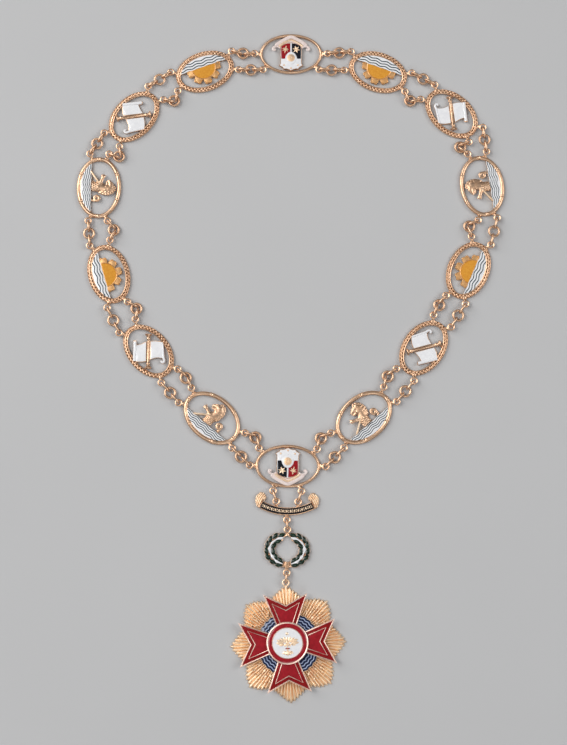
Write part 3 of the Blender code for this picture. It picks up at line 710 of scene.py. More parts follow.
def smooth_outline(points, steps=5, closed=True):
    """Runs a smooth curve through points."""
    count = len(points)
    curve = []
    for k in range(count if closed else count - 1):
        near = [k + j for j in (-1, 0, 1, 2)]
        near = [n % count if closed else min(max(n, 0), count - 1) for n in near]
        a, b, c, d = (Vector(points[n]) for n in near)
        for step in range(steps):
            t = step / steps
            curve.append(tuple(0.5 * (2 * b + (c - a) * t + (2 * a - 5 * b + 4 * c - d) * t * t
                                      + (3 * b - a - 3 * c + d) * t ** 3)))
    if not closed:
        curve.append(tuple(points[-1]))
    return curve


def rim_wire(outline, level, half_width, sides=6):
    """Lays a thin wire along the edge of a plate."""
    return draw_wires([at_level(inset(outline, half_width), level)], half_width, half_width, sides, True)


# Water of the gear and sea lion medallions. A plate across the foot of the oval, white enamel crossed
# by dark wavy lines, its upper edge cut to the same wave and traced by a thin dark line of painted shade.
WAVE_LENGTH = 7.7
WAVE_SWING = 0.42
EDGE_SWING = 0.16
LINE_HALF_HEIGHT = 0.13
# Width share of the thin dark edge line, which is painted shade.
EDGE_SHADE_SHARE = 0.4
slate_enamel = enamel("slate_enamel", (0.055, 0.085, 0.095), (0.03, 0.05, 0.06))


def wave(x, swing=WAVE_SWING):
    """Height of the wave at a place across the water."""
    return swing * math.cos(2 * math.pi * x / WAVE_LENGTH)


def water_meshes(half_length, half_width, level, drops, line_width):
    """Makes the plate, the white enamel, the dark lines and a thin dark edge line of painted shade; the oval
    given is the frame's middle.
    """
    reach = half_length * math.sqrt(1 - (level / half_width) ** 2)
    across = [-reach + 2 * reach * k / 60 for k in range(61)]
    surface = [(x, level + wave(x, EDGE_SWING)) for x in reversed(across)]
    start = math.asin(level / half_width)
    angles = [math.pi - start + (math.pi + 2 * start) * k / 40 for k in range(1, 40)]
    outline = surface + [(half_length * math.cos(angle), half_width * math.sin(angle)) for angle in angles]
    metal = plates_mesh("water_plate", (outline, 0.6, 2.05, 0.1))
    white = plates_mesh("water_white", (inset(outline, 0.3), 1.8, 2.15, 0.1))
    paths = []
    for drop in drops:
        y = level - drop
        side = (half_length - 0.2) * math.sqrt(1 - (y / half_width) ** 2)
        places = [side * (2 * k / 56 - 1) for k in range(57)]
        paths.append([(x, y + wave(x), 2.14) for x in places])
    # The last line, thin and dark along the upper edge, is painted shade under the rim of the white enamel.
    paths.append([(x, y - 0.2, 2.1, EDGE_SHADE_SHARE) for x, y in surface[2:-2]])
    return metal, white, draw_wires(paths, line_width / 2, LINE_HALF_HEIGHT, 6)


# Gear medallions. Out of the water rises half a gear with five flared teeth, cast in gilt metal round
# a domed half disc of orange enamel.
GEAR_LEVEL = -3.2
GEAR_RADIUS = 9.2
GEAR_SUN_RADIUS = 8.35
GEAR_HALF_FOOT = 12.5
GEAR_TOOTH_TURN = 40.0
GEAR_TEETH = (-2, -1, 0, 1, 2)
GEAR_TOOTH = (
    (-18.2, 9.2), (-15.5, 10.2), (-13.6, 11.5), (-10.5, 12.5), (-5.0, 12.65), (0.0, 12.15),
    (5.0, 12.65), (10.5, 12.5), (13.6, 11.5), (15.5, 10.2), (18.2, 9.2))
TOOTH_CREASE = ((13.0, 10.0, 2.1, 0.5), (11.0, 11.3, 2.2, 1.0), (7.0, 12.1, 2.2, 1.0), (1.5, 11.9, 2.1, 0.5))
ROPE_INNER = 3.3
GEAR_WATER_LEVEL = -3.25
GEAR_LINE_DROPS = (1.65, 3.6, 5.55)
GEAR_LINE_WIDTH = 0.8
gear_gilt = gilt_metal("gear_gilt", (0.86, 0.54, 0.26), (0.73, 0.39, 0.16), 0.44, 0.5)
sun_enamel = enamel("sun_enamel", (0.75, 0.355, 0.05), (0.64, 0.265, 0.032), 900.0)


def gear_polar(radius, angle):
    """Returns a point at an angle, in degrees, round the middle of the gear."""
    return (radius * math.cos(math.radians(angle)), GEAR_LEVEL + radius * math.sin(math.radians(angle)))


def dome_mesh(name, centre, radius, bottom, edge, crown, sweep=2 * math.pi, rings=7, steps=48):
    """Makes a domed disc, or a half of one."""
    x, y = centre
    turns = [sweep * k / steps for k in range(steps + 1 if sweep < 2 * math.pi else steps)]
    rows = []
    for ring in range(rings + 2):
        share = 1.0 if ring < 2 else math.cos((ring - 1) / rings * math.pi / 2)
        level = bottom if ring == 0 else edge + (crown - edge) * (1 - share ** 2)
        reach = radius * max(share, 0.02)
        rows.append([(x + reach * math.cos(turn), y + reach * math.sin(turn), level) for turn in turns])
    return shells_mesh(name, [(rows, False)])


def set_medallions(motif, numbers, parts):
    """Joins each part (name, meshes, material, slot) and sets it on every medallion of a motif."""
    joined = [join_meshes(f"{motif}_{name}", meshes) for name, meshes, material, slot in parts]
    for number in numbers:
        node = f"{motif}_medallion_{number}"
        middle, turn = lie_of(node)
        for mesh, (name, meshes, material, slot) in zip(joined, parts):
            nodes = [node] if mesh is joined[0] else []
            add_piece(f"{node}_{name}", moved(mesh, middle.to_3d(), turn), material, nodes)


gear_outline = [(-GEAR_HALF_FOOT, GEAR_LEVEL - 0.4), (GEAR_HALF_FOOT, GEAR_LEVEL - 0.4)]
creases = []
for tooth in GEAR_TEETH:
    middle = 90.0 + tooth * GEAR_TOOTH_TURN
    for aside, radius in GEAR_TOOTH:
        if 1.0 < middle + aside < 179.0:
            gear_outline.append(gear_polar(radius, middle + aside))
    for side in (-1, 1):
        if 2.0 < middle + side * 6.0 < 178.0:
            creases.append([(*gear_polar(radius, middle + side * aside), level, swell)
                            for aside, radius, level, swell in TOOTH_CREASE])
rim_arc = [(*gear_polar(GEAR_RADIUS - 0.5, 180.0 * k / 32), 2.25) for k in range(33)]
gear_plate, gear_white, gear_lines = water_meshes(
    ROPE_HALF_LENGTH - ROPE_INNER, ROPE_HALF_WIDTH - ROPE_INNER, GEAR_WATER_LEVEL, GEAR_LINE_DROPS,
    GEAR_LINE_WIDTH)
gear_teeth = [
    plates_mesh("gear_plate", (gear_outline, 0.6, 2.2, 0.3)),
    draw_wires([rim_arc], 0.32, 0.4, 8),
    draw_wires(creases, 0.36, 0.32, 6),
]
gear_sun = dome_mesh("gear_sun", (0.0, GEAR_LEVEL), GEAR_SUN_RADIUS, 2.0, 2.3, 2.75, math.pi)
set_medallions("gear", range(1, 5), (
    ("gilt", rope_frame + [gear_plate] + oval_eyes("gear", SMALL_EYE_FLARE), gilt, "gilt"),
    ("teeth", gear_teeth, gear_gilt, "gilt"),
    ("ground", rope_shade_floor, pit_gilt, "gilt"),
    ("sun", [gear_sun], sun_enamel, None),
    ("water", [gear_white], white_enamel, "white_enamel"),
    ("water_lines", [gear_lines], slate_enamel, "black_enamel"),
))


# Scroll medallions. Two white enamelled sheets lie either side of a turned gilt rod that crosses the
# oval, each sheet with a curled or rolled end and a gilt edge.
ROD_UPPER = Vector((-9.3, 7.9))
ROD_LOWER = Vector((9.5, -8.2))
ROD_LEVEL = 1.9
ROD_FLATNESS = 0.8
ROD_SIDES = 14
FINIAL = (
    (0.0, 1.5), (0.1, 2.3), (0.5, 2.6), (1.1, 2.2), (1.8, 1.4), (2.3, 1.05), (2.8, 1.2), (3.2, 1.45),
    (3.7, 1.45), (4.2, 1.1), (4.7, 0.9))
SHEETS = (
    (((5.4, -2.6), (10.6, 4.6), (1.8, 11.5), (-4.1, 5.5)), (-0.10, 0.0, 0.05, 0.0)),
    (((-0.2, -11.3), (4.2, -5.9), (-6.0, 2.8), (-8.7, -4.2)), (0.05, 0.0, -0.05, 0.0)),
)
SHEET_EDGE = 0.42
ROLL_PATH = ((-11.4, -2.9), (-8.3, -5.5), (-4.9, -8.5), (-0.9, -12.0))
ROLL_LEVEL = 1.75
CURL_PATH = (
    (1.6, 11.3, 0.8), (6.2, 8.0, 0.9), (10.0, 5.2, 1.0), (11.6, 4.5, 1.0), (12.7, 3.6, 1.0),
    (12.7, 2.4, 0.95), (11.8, 1.9, 0.8), (11.2, 2.6, 0.6))
CURL_LEVEL = 1.9
EDGE_DROP = 0.4


def sheet_mesh(corners, bows, bottom, top, rise, steps=12):
    """Makes a thick bowed sheet between four corners, counter-clockwise; each side bows out by its share."""
    a, b, c, d = (Vector(corner) for corner in corners)
    bulges = []
    for (start, end), bow in zip(((a, b), (b, c), (c, d), (d, a)), bows):
        bulges.append(Vector(((end - start).y, -(end - start).x)) * bow)
    points = []
    for j in range(steps + 1):
        v = j / steps
        for k in range(steps + 1):
            u = k / steps
            flat = a * (1 - u) * (1 - v) + b * u * (1 - v) + c * u * v + d * (1 - u) * v
            flat += (bulges[0] * (1 - v) + bulges[2] * v) * math.sin(math.pi * u)
            flat += (bulges[1] * u + bulges[3] * (1 - u)) * math.sin(math.pi * v)
            soft = 0.12 * (1 - min(min(u, 1 - u, v, 1 - v) * 14, 1.0)) ** 2
            swell = math.sin(math.pi * (u * 0.8 + 0.1)) * math.sin(math.pi * v * 1.6 + 0.4)
            points += [(flat.x, flat.y, top + rise * swell - soft), (flat.x, flat.y, bottom)]

    def corner(j, k, low):
        return 2 * (j * (steps + 1) + k) + low

    faces = []
    for j in range(steps):
        for k in range(steps):
            square = ((j, k), (j, k + 1), (j + 1, k + 1), (j + 1, k))
            faces.append([corner(*spot, 0) for spot in square])
            faces.append([corner(*spot, 1) for spot in reversed(square)])
    for k in range(steps):
        sides = (((0, k), (0, k + 1)), ((steps, k + 1), (steps, k)),
                 ((k + 1, 0), (k, 0)), ((k, steps), (k + 1, steps)))
        for start, end in sides:
            faces.append([corner(*start, 1), corner(*end, 1), corner(*end, 0), corner(*start, 0)])
    mesh = bpy.data.meshes.new("sheet")
    mesh.from_pydata(points, [], faces)
    return mesh


rod_length = (ROD_LOWER - ROD_UPPER).length
rod_profile = list(FINIAL) + [(rod_length - x, radius) for x, radius in reversed(FINIAL)]
rod_rows = []
for x, radius in rod_profile:
    rod_rows.append([(x, radius * out, ROD_FLATNESS * radius * up) for out, up in round_steps(ROD_SIDES)])
rod_turn = math.atan2(*(ROD_LOWER - ROD_UPPER).yx)
rod = moved(shells_mesh("rod", [(rod_rows, False)]), (*ROD_UPPER, ROD_LEVEL), rod_turn)
roll_path = at_level(ROLL_PATH, ROLL_LEVEL)
roll_start = [roll_path[0], (roll_path[0][0] - 0.35, roll_path[0][1] + 0.3, ROLL_LEVEL)]
curl_path = smooth_outline([(x, y, CURL_LEVEL, swell) for x, y, swell in CURL_PATH], 4, False)
low_curl = [(x, y, z - EDGE_DROP, swell) for x, y, z, swell in curl_path]
scroll_white = [sheet_mesh(corners, bows, 1.2, 2.15, 0.3) for corners, bows in SHEETS]
scroll_white += [draw_wires([roll_path], 1.2, 0.95, 12), draw_wires([curl_path], 0.85, 0.7, 10)]
scroll_metal = [sheet_mesh(inset(corners, -SHEET_EDGE), bows, 0.6, 1.95, 0.25) for corners, bows in SHEETS]
scroll_metal += [
    draw_wires([at_level(roll_path, ROLL_LEVEL - EDGE_DROP)], 1.4, 0.7, 10),
    draw_wires([roll_start], 1.25, 1.0, 12),
    draw_wires([low_curl], 1.0, 0.55, 10),
]
set_medallions("scroll", range(1, 5), (
    ("gilt", rope_frame + [rod] + scroll_metal + oval_eyes("scroll", SMALL_EYE_FLARE), gilt, "gilt"),
    ("ground", rope_shade_floor, pit_gilt, "gilt"),
    ("sheets", scroll_white, white_enamel, "white_enamel"),
))


# Sea lion medallions. A cast beast with a lion's head, a mane of locks and scales on its body rises from
# the water, one paw raised and a short sword laid over it, and the curl of its tail shows behind it.
SEA_LION_LEVEL = -5.35
BEAST_RELIEF = 0.52
BEAST_LEVEL = 1.75
SUNK_LEVEL = 1.85
CASTING_GRAIN = 0.2
LION_LINE_DROPS = (1.2, 2.65, 4.1, 5.55)
LION_LINE_WIDTH = 0.62
BAMBOO_INNER = 2.6
SWORD = ((-12.2, -6.0), (-10.6, -5.6), (-1.9, 0.4), (-2.5, 1.3), (-11.3, -4.7))
TORSO = [
    (-0.8, -6.3, 0, 3.3), (-0.8, -4.0, 0, 3.4), (-0.6, -1.2, 0, 3.5), (0.3, 1.6, 0, 3.2),
    (1.1, 4.4, 0, 3.2), (1.1, 7.2, 0, 3.2)]
HEAD = [
    [(0.2, 8.2, 0.5, 2.5), (-1.8, 8.6, 0.7, 1.9), (-3.6, 8.1, 0.6, 1.25), (-4.8, 7.5, 0.5, 0.85)],
    [(-1.2, 6.5, 0.3, 1.2), (-2.8, 5.7, 0.4, 0.75), (-4.3, 5.6, 0.3, 0.5)],
    [(-3.4, 6.6, 0.3, 0.3), (-5.0, 6.5, 0.4, 0.28), (-5.6, 6.0, 0.4, 0.2)],
    [(-2.4, 10.0, 1.6, 0.5), (-3.4, 9.4, 1.5, 0.35)],
    [(-0.6, 10.2, 1.6, 0.6), (-0.9, 11.1, 1.2, 0.4)],
]
PAWS = [
    [(-1.4, 1.0, 1.4, 1.7), (-3.8, 1.4, 1.4, 1.25), (-6.2, 2.4, 1.2, 1.05), (-7.9, 3.0, 1.0, 1.35)],
    [(-8.0, 2.7, 1.2, 0.7), (-9.2, 2.1, 1.0, 0.45), (-9.7, 2.3, 0.9, 0.2)],
    [(-8.2, 3.4, 1.2, 0.7), (-9.4, 3.4, 1.0, 0.42), (-9.9, 3.8, 0.9, 0.2)],
    [(-7.9, 3.8, 1.2, 0.65), (-8.7, 4.6, 1.0, 0.4), (-8.7, 5.2, 0.9, 0.2)],
    [(-0.4, 3.2, 1.2, 1.5), (-2.2, 1.6, 1.3, 1.3), (-3.4, 0.2, 1.2, 1.2)],
    [(-2.3, -1.5, 1.4, 0.42), (-3.0, -0.2, 1.8, 0.45), (-4.1, 1.0, 1.4, 0.42)],
]
TAIL = [(8.2, -6.2, 0, 0.9), (9.3, -4.5, 0, 0.85), (9.7, -2.8, 0.2, 0.8)]
TAIL_CURL = Vector((7.8, -1.2))
LOCKS = (
    (0.6, 10.5, 0.6), (2.4, 10.1, 0.6), (3.8, 8.9, 0.6), (4.5, 7.2, 0.6), (4.6, 5.4, 0.6), (4.2, 3.6, 0.6),
    (3.5, 1.9, 0.6), (1.4, 8.7, 1.4), (2.9, 7.3, 1.4), (3.2, 5.2, 1.4), (2.7, 3.2, 1.4), (1.1, 6.9, 2.0),
    (1.5, 4.8, 2.0), (-0.4, 5.3, 1.8))
pale_gilt = gilt_metal("pale_gilt", (1.0, 0.80, 0.59), (0.92, 0.66, 0.44), 0.44, 0.4)


def limb_rows(path, sides=24):
    """Returns the rows of a rounded limb through points with radii; the rows are in metres."""
    points = [Vector(p[:3]) * MM for p in path]
    start_cap = [(-1.0, 0.05), (-0.75, 0.66), (-0.4, 0.92), (0.0, 1.0)]
    last = len(points) - 1
    rows = []
    for k, point in enumerate(points):
        way = (points[min(k + 1, last)] - points[max(k - 1, 0)]).normalized()
        across = way.cross(Vector((0.0, 0.0, 1.0))).normalized()
        up = across.cross(way)
        caps = [(0.0, 1.0)]
        if k == 0:
            caps = start_cap
        if k == last:
            caps = [(-shift, share) for shift, share in reversed(start_cap)]
        radius = path[k][3] * MM
        for shift, share in caps:
            middle = point + way * shift * radius
            rows.append([middle + (across * x + up * z) * radius * share for x, z in round_steps(sides)])
    return rows


def cast_mesh(name, limbs):
    """Melts limbs into one casting, in metres, and returns it as a flat relief in millimetres."""
    block = bpy.data.objects.new(name, shells_mesh(name, [(limb_rows(limb), False) for limb in limbs]))
    bpy.context.collection.objects.link(block)
    melt = block.modifiers.new("melt", "REMESH")
    melt.mode = "VOXEL"
    melt.voxel_size = CASTING_GRAIN * MM
    soften = block.modifiers.new("soften", "SMOOTH")
    soften.factor = 0.5
    soften.iterations = 5
    view = bpy.context.evaluated_depsgraph_get()
    cast = bpy.data.meshes.new_from_object(block.evaluated_get(view))
    bpy.data.objects.remove(block)
    cast.transform(Matrix.Diagonal((1 / MM, 1 / MM, BEAST_RELIEF / MM, 1.0)))
    cast.transform(Matrix.Translation((0.0, 0.0, BEAST_LEVEL)))
    return cast


limbs = [TORSO, *HEAD, *PAWS, TAIL]
for k in range(8):
    angle = math.radians(45 * k)
    start = TAIL_CURL + spin(1.65, 0.0, angle)
    end = TAIL_CURL + spin(1.75, 0.0, angle + 0.6)
    limbs.append([(*start, 0.3, 1.0), (*end, 0.3, 0.95)])
for row in range(5):
    y = -4.9 + 1.25 * row
    for column in range(-2, 2 + row % 2):
        x = 1.45 * (column + 0.5 * (1 - row % 2))
        height = math.sqrt(3.35 ** 2 - x ** 2) - 0.2
        limbs.append([(x - 0.8, y + 0.45, height - 0.1, 0.45), (x - 0.8, y - 0.25, height, 0.68)])
for x, y, height in LOCKS:
    limbs.append([(x - 0.4, y + 0.9, height, 1.05), (x + 0.2, y - 0.1, height + 0.15, 1.15),
                  (x + 0.3, y - 1.3, height, 0.8)])
beast = cast_mesh("beast", limbs)
for vertex in beast.vertices:
    if vertex.co.y < SEA_LION_LEVEL + wave(vertex.co.x, EDGE_SWING):
        vertex.co.z = min(vertex.co.z, SUNK_LEVEL)
lion_plate, lion_white, lion_lines = water_meshes(
    BAMBOO_HALF_LENGTH - BAMBOO_INNER, BAMBOO_HALF_WIDTH - BAMBOO_INNER, SEA_LION_LEVEL, LION_LINE_DROPS,
    LION_LINE_WIDTH)
set_medallions("sea_lion", range(1, 5), (
    ("gilt", [bamboo_frame_mesh(), lion_plate, beast] + oval_eyes("sea_lion", SMALL_EYE_FLARE), gilt, "gilt"),
    ("water", [lion_white], white_enamel, "white_enamel"),
    ("water_lines", [lion_lines], slate_enamel, "black_enamel"),
    ("blade", [plates_mesh("blade", (SWORD, 1.2, 3.35, 0.2))], pale_gilt, "gilt"),
))


# Shield medallions. An eared shield in three enamels over a white ribbon, with bare generic charges:
# a domed gilt boss in a white oval, and a gilt rosette and a gilt sprig on the two lower fields.
SHIELD_HALF = (
    (0.0, -8.8), (2.2, -8.2), (4.8, -7.2), (6.9, -6.0), (7.7, -4.5), (8.0, 0.0), (7.8, 3.0), (7.7, 5.0),
    (7.8, 7.5), (8.8, 8.7), (7.4, 9.6), (6.2, 10.2), (5.3, 11.6), (3.4, 11.5), (1.7, 12.0), (0.0, 12.9))
RIBBON_HALF = (
    (0.0, -13.2), (2.6, -12.7), (5.4, -11.7), (8.2, -10.1), (10.4, -8.1), (11.3, -5.8), (10.9, -4.9),
    (9.4, -5.0), (8.2, -4.0), (7.4, -4.6), (6.6, -6.2), (4.8, -7.2), (2.2, -8.2), (0.0, -8.8))
RED_FIELD = (
    (0.5, -7.9), (4.0, -7.2), (6.5, -5.8), (7.1, -4.3), (7.2, 0.0), (7.0, 3.8), (4.4, 3.8), (3.8, 1.5),
    (2.9, 0.1), (1.8, -0.9), (0.5, -1.3))
RIBBON_LINE = (
    (0.0, -12.5, 2.4, 1.0), (1.5, -12.2, 2.35, 1.0), (4.2, -10.9, 2.1, 1.0), (7.0, -9.3, 1.9, 1.0),
    (8.9, -8.1, 1.85, 1.0), (10.4, -6.9, 1.8, 1.0), (11.0, -5.9, 1.8, 0.8))
FOLD_LINE = ((0.0, -10.5, 2.0), (2.5, -9.5, 2.0), (4.5, -8.5, 2.0), (6.5, -7.3, 2.0), (8.6, -5.6, 2.0))
RIBBON_CURL = (
    (11.0, -5.6, 0.9), (12.3, -5.0, 1.0), (13.0, -3.8, 1.0), (12.4, -2.8, 0.9), (11.5, -3.2, 0.8),
    (11.9, -3.9, 0.6))
FIELD_LEVELS = (2.1, 2.38, 0.12)
BOSS_MIDDLE = (0.0, 3.2)
BOSS_RAYS = [(turn, 2.5) for turn in range(0, 360, 30)]
ROSETTE = [(turn, 1.5) for turn in range(0, 360, 60)]
SPRIG = ((0, 2.6), (38, 2.0), (-38, 2.0), (75, 1.6), (-75, 1.6), (180, 1.4))
CHARGES = (
    (*BOSS_MIDDLE, 0.0, 1.0, BOSS_RAYS, 2.6), (-3.8, -3.2, 0.3, 1.75, ROSETTE, 2.42),
    (3.8, -4.0, -0.2, 1.45, SPRIG, 2.42), (0.0, 10.9, 0.0, 0.55, ROSETTE, 2.3),
    (5.0, 8.6, 0.0, 0.55, ROSETTE, 2.3), (-5.0, 8.6, 0.0, 0.55, ROSETTE, 2.3))
black_enamel = enamel("black_enamel", (0.012, 0.013, 0.018), (0.006, 0.007, 0.012))
red_enamel = enamel("red_enamel", (0.36, 0.014, 0.018), (0.26, 0.009, 0.013))
shell_enamel = enamel("shell_enamel", (0.84, 0.74, 0.71), (0.74, 0.60, 0.56), 700.0)


def mirrored(half_points):
    """Closes a half outline, from the foot up its right side, by its mirror."""
    return list(half_points) + [(-x, y) for x, y in half_points[-2:0:-1]]


def both_ways(half_line, steps):
    """Runs a smooth line from the left end to the right one, given its right half from the middle."""
    left = [(-point[0], *point[1:]) for point in half_line[:0:-1]]
    return smooth_outline(left + list(half_line), steps, False)


def sprig_wires(x, y, turn, size, leaves, level):
    """Draws a small sprig of leaves, or a rosette where the leaves go all round."""
    start = Vector((x, y))
    paths = []
    for angle, length in leaves:
        way = spin(0.0, 1.0, turn + math.radians(angle)) * length * size
        middle, end = start + way * 0.45, start + way
        paths.append([(*start, level, 0.35), (*middle, level + 0.08, 1.0), (*end, level, 0.2)])
    return draw_wires(paths, 0.36 * size, 0.25, 6)


shield_outline = mirrored(SHIELD_HALF)
boss_oval = [(3.8 * across, 3.3 + 4.6 * along) for across, along in round_steps(40)]
black_field = [(-x, y) for x, y in reversed(RED_FIELD)]
curls = []
for side in (-1, 1):
    curls.append(smooth_outline([(side * x, y, 1.8, swell) for x, y, swell in RIBBON_CURL], 4, False))
shield_metal = [
    plain_frame_mesh(),
    plates_mesh("shield_plate", (shield_outline, 0.6, 2.05, 0.2)),
    rim_wire(shield_outline, 2.1, 0.26),
]
shield_white = [
    plates_mesh("shield_white", (inset(shield_outline, 0.42), 1.9, 2.2, 0.1), (boss_oval, 2.1, 2.4, 0.15)),
]
shield_charges = [
    draw_wires([both_ways(FOLD_LINE, 3)], 0.75, 0.45, 10),
    dome_mesh("boss", BOSS_MIDDLE, 2.8, 2.1, 2.45, 2.7, steps=32),
    *(sprig_wires(*charge) for charge in CHARGES),
]
shield_ribbon = [
    plates_mesh("ribbon_back", (mirrored(RIBBON_HALF), 1.0, 2.0, 0.2)),
    draw_wires([both_ways(RIBBON_LINE, 4)], 1.25, 0.42, 10),
    draw_wires(curls, 0.85, 0.6, 10),
]
for number, extra in ((1, PENDANT_EYE_TURNS), (2, ())):
    set_medallions("shield", [number], (
        ("gilt", shield_metal + oval_eyes("shield", BROAD_EYE_FLARE, extra), gilt, "gilt"),
        ("white", shield_white, white_enamel, "white_enamel"),
        ("black", [plates_mesh("shield_black", (black_field, *FIELD_LEVELS))], black_enamel, "black_enamel"),
        ("red", [plates_mesh("shield_red", (RED_FIELD, *FIELD_LEVELS))], red_enamel, "red_enamel"),
        ("charges", shield_charges, pale_gilt, "gilt"),
        ("ribbon", shield_ribbon, shell_enamel, "white_enamel"),
    ))


# Links of the pendant. Four more oval links of round gilt wire, soldered shut, hang the banner, the
# wreath and the star.
PENDANT_LINKS = (
    ("banner_link_left", 7.6), ("banner_link_right", 7.6), ("wreath_link", 6.8), ("star_link", 6.8))
for name, length in PENDANT_LINKS:
    corners = np.array([v.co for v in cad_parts[name].data.vertices])
    low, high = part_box(name)
    middle = (low + high) / 2 / MM
    long_way = np.linalg.svd(corners[:, :2] - corners[:, :2].mean(axis=0))[2][0]
    turn = (math.pi / 2, 0.0, math.atan2(long_way[1], long_way[0]))
    spots = spots_mesh(name, [(middle.x, middle.y, LINK_LEVEL)], [turn])
    link = run_tree(wire_links, spots, HalfLength=length / 2, HalfWidth=LINK_RISE, Wire=LINK_WIRE, Metal=gilt)
    add_piece(f"{name}_wire", join_meshes(name, [link]), gilt, [name])


# Banner. A curved gilt band filled with black enamel and a row of small pale gilt lozenges and beads,
# with a pleated end on each side, hung from two eyes and carrying one below.
BANNER_PLACE = Vector((-2.7, -100.3, 0.0))
PENDANT_TURN = math.radians(-1.0)
BANNER_RADIUS = 38.5
BANNER_HALF_ANGLE = 28.5
GLASS_HALF_ANGLE = 27.6
BANNER_HALF_WIDTH = 2.9
BAND_HALF_WIDTH = 2.65
GLASS_HALF_WIDTH = 2.12
BANNER_EYE_SPREAD = 15.1
PENDANT_STANDOFF = 3.0
PENDANT_EYE_FLARE = 1.3
MARK_TURN = 1.98
LOZENGE = ((0.0, 0.66, 1.25),)
BEADS = ((-0.62, 0.5, 0.52), (0.62, 0.5, 0.52))
PLEATED_END = (
    (-19.9, -4.3), (-16.8, 0.6), (-15.1, 1.0), (-14.6, 2.7), (-15.8, 5.1), (-18.3, 6.5), (-20.6, 4.3),
    (-21.9, 1.4), (-21.6, -1.4))
PLEATS = ((-0.7, 3.4, 6.2), (0.6, -2.2, 7.2), (1.9, -2.3, 7.9), (3.2, -1.0, 7.2), (4.4, 1.0, 6.0))
END_MIDDLE = Vector((-18.37, -1.98))
END_WAY = Vector((0.478, 0.879))
END_OUT = Vector((-0.879, 0.478))
banner_lift = BANNER_RADIUS - math.sqrt(BANNER_RADIUS ** 2 - (BANNER_EYE_SPREAD / 2) ** 2)
banner_middle = -(PENDANT_STANDOFF + BANNER_HALF_WIDTH + banner_lift)
banner_low = banner_middle - BANNER_HALF_WIDTH - PENDANT_STANDOFF


def on_banner(angle, out):
    """Returns a point on the band at an angle in degrees from its middle, set down from its middle line."""
    turn = math.radians(angle)
    reach = BANNER_RADIUS + out
    return (reach * math.sin(turn), banner_middle + BANNER_RADIUS - reach * math.cos(turn))


def band_outline(half_angle, half_width, steps=28):
    """Returns the outline of a band that follows the banner, counter-clockwise."""
    turns = [half_angle * (2 * k / steps - 1) for k in range(steps + 1)]
    lower = [on_banner(turn, half_width) for turn in turns]
    return lower + [on_banner(turn, -half_width) for turn in reversed(turns)]


def hang(name, meshes, place, turn, finish, nodes=()):
    """Joins meshes drawn about a pendant piece's own origin and sets them in their place."""
    add_piece(name, moved(join_meshes(name, meshes), place, turn), finish, nodes)


marks = []
for k in range(-13, 14):
    for out, half_wide, half_tall in BEADS if k % 2 else LOZENGE:
        aside = math.degrees(half_wide / BANNER_RADIUS)
        tips = ((0, 1), (1, 0), (0, -1), (-1, 0))
        outline = [on_banner(k * MARK_TURN + a * aside, out + b * half_tall) for a, b in tips]
        marks.append((outline, 2.2, 2.5, 0.1))
ends, pleats = [], []
for side in (1, -1):
    outline = [(side * x, y) for x, y in smooth_outline(PLEATED_END, 3)]
    ends.append((outline[::side], 0.2, 1.35, 0.3))
    for off, start, end in PLEATS:
        pleat = []
        for k in range(8):
            bulge = math.sin(math.pi * k / 7)
            along = END_WAY * (start + (end - start) * k / 7)
            spot = END_MIDDLE + along + END_OUT * (off + 0.5 * bulge - 0.2)
            pleat.append((side * spot.x, spot.y, 1.4 + 0.4 * bulge, 0.72 + 0.28 * bulge))
        pleats.append(pleat)
band = band_outline(BANNER_HALF_ANGLE, BAND_HALF_WIDTH)
eye = eye_mesh(PENDANT_STANDOFF, PENDANT_EYE_FLARE)
banner_metal = [plates_mesh("band", (band, 0.0, 2.2, 0.2), *ends), rim_wire(band, 2.25, 0.30, 8)]
for x, y, turn in (
        (-BANNER_EYE_SPREAD / 2, 0.0, 90.0), (BANNER_EYE_SPREAD / 2, 0.0, 90.0), (0.0, banner_low, -90.0)):
    banner_metal.append(moved(eye, (x, y, 0.0), math.radians(turn)))
banner_glass = plates_mesh("banner_glass", (band_outline(GLASS_HALF_ANGLE, GLASS_HALF_WIDTH), 2.0, 2.3, 0.08))
banner_marks = [plates_mesh("marks", *marks), draw_wires(pleats, 0.68, 0.72, 12)]
hang("banner_gilt", banner_metal, BANNER_PLACE, PENDANT_TURN, gilt, ["banner"])
hang("banner_enamel", [banner_glass], BANNER_PLACE, PENDANT_TURN, black_enamel)
hang("banner_marks", banner_marks, BANNER_PLACE, PENDANT_TURN, pale_gilt)


# Wreath. Two laurel branches, open at the top and tied at the foot by a gilt band: leaves of dark green
# enamel with gilt edges on either side of a white enamelled stem, over a gilt ground.
WREATH_PLACE = Vector((-2.5, -119.6, 0.0))
WREATH_FOOT = -29.4
OUTER_LEAVES = (
    (-3.6, -3.8, 18), (-8.0, -4.4, 48), (-11.3, -6.7, 68), (-13.4, -10.3, 85), (-13.8, -14.8, 112),
    (-12.6, -19.0, 138), (-9.4, -22.1, 155), (-5.2, -24.1, 176))
INNER_LEAVES = (
    (-6.3, -8.1, 20), (-9.0, -11.2, 42), (-9.1, -15.2, 92), (-7.3, -18.7, 118), (-4.2, -21.0, 135))
LEAF_SHIFT = 0.35
STEM = (
    (-2.6, -5.3, 0.3), (-3.4, -5.6, 1.0), (-4.5, -5.9, 1.6), (-6.0, -6.1, 1.3), (-8.0, -7.1, 0.8),
    (-10.1, -8.8, 1.2), (-11.6, -11.0, 0.7), (-12.0, -13.0, 2.0), (-11.7, -15.0, 1.1), (-10.9, -17.0, 0.8),
    (-9.9, -18.6, 1.8), (-8.6, -20.3, 0.8), (-6.9, -21.8, 1.5), (-5.2, -22.5, 1.0), (-3.0, -23.3, 0.6))
STEM_LEVEL = 2.0
BRANCH_LEVEL = 0.6
BRANCH_FOOT = (0.0, -24.2, STEM_LEVEL, 0.6)
TOP_BAR = (
    (-3.6, -5.4, 1.5, 0.5), (-1.6, -4.2, 1.5, 0.9), (0.0, -3.4, 1.5, 1.1), (1.6, -4.2, 1.5, 0.9),
    (3.6, -5.4, 1.5, 0.5))
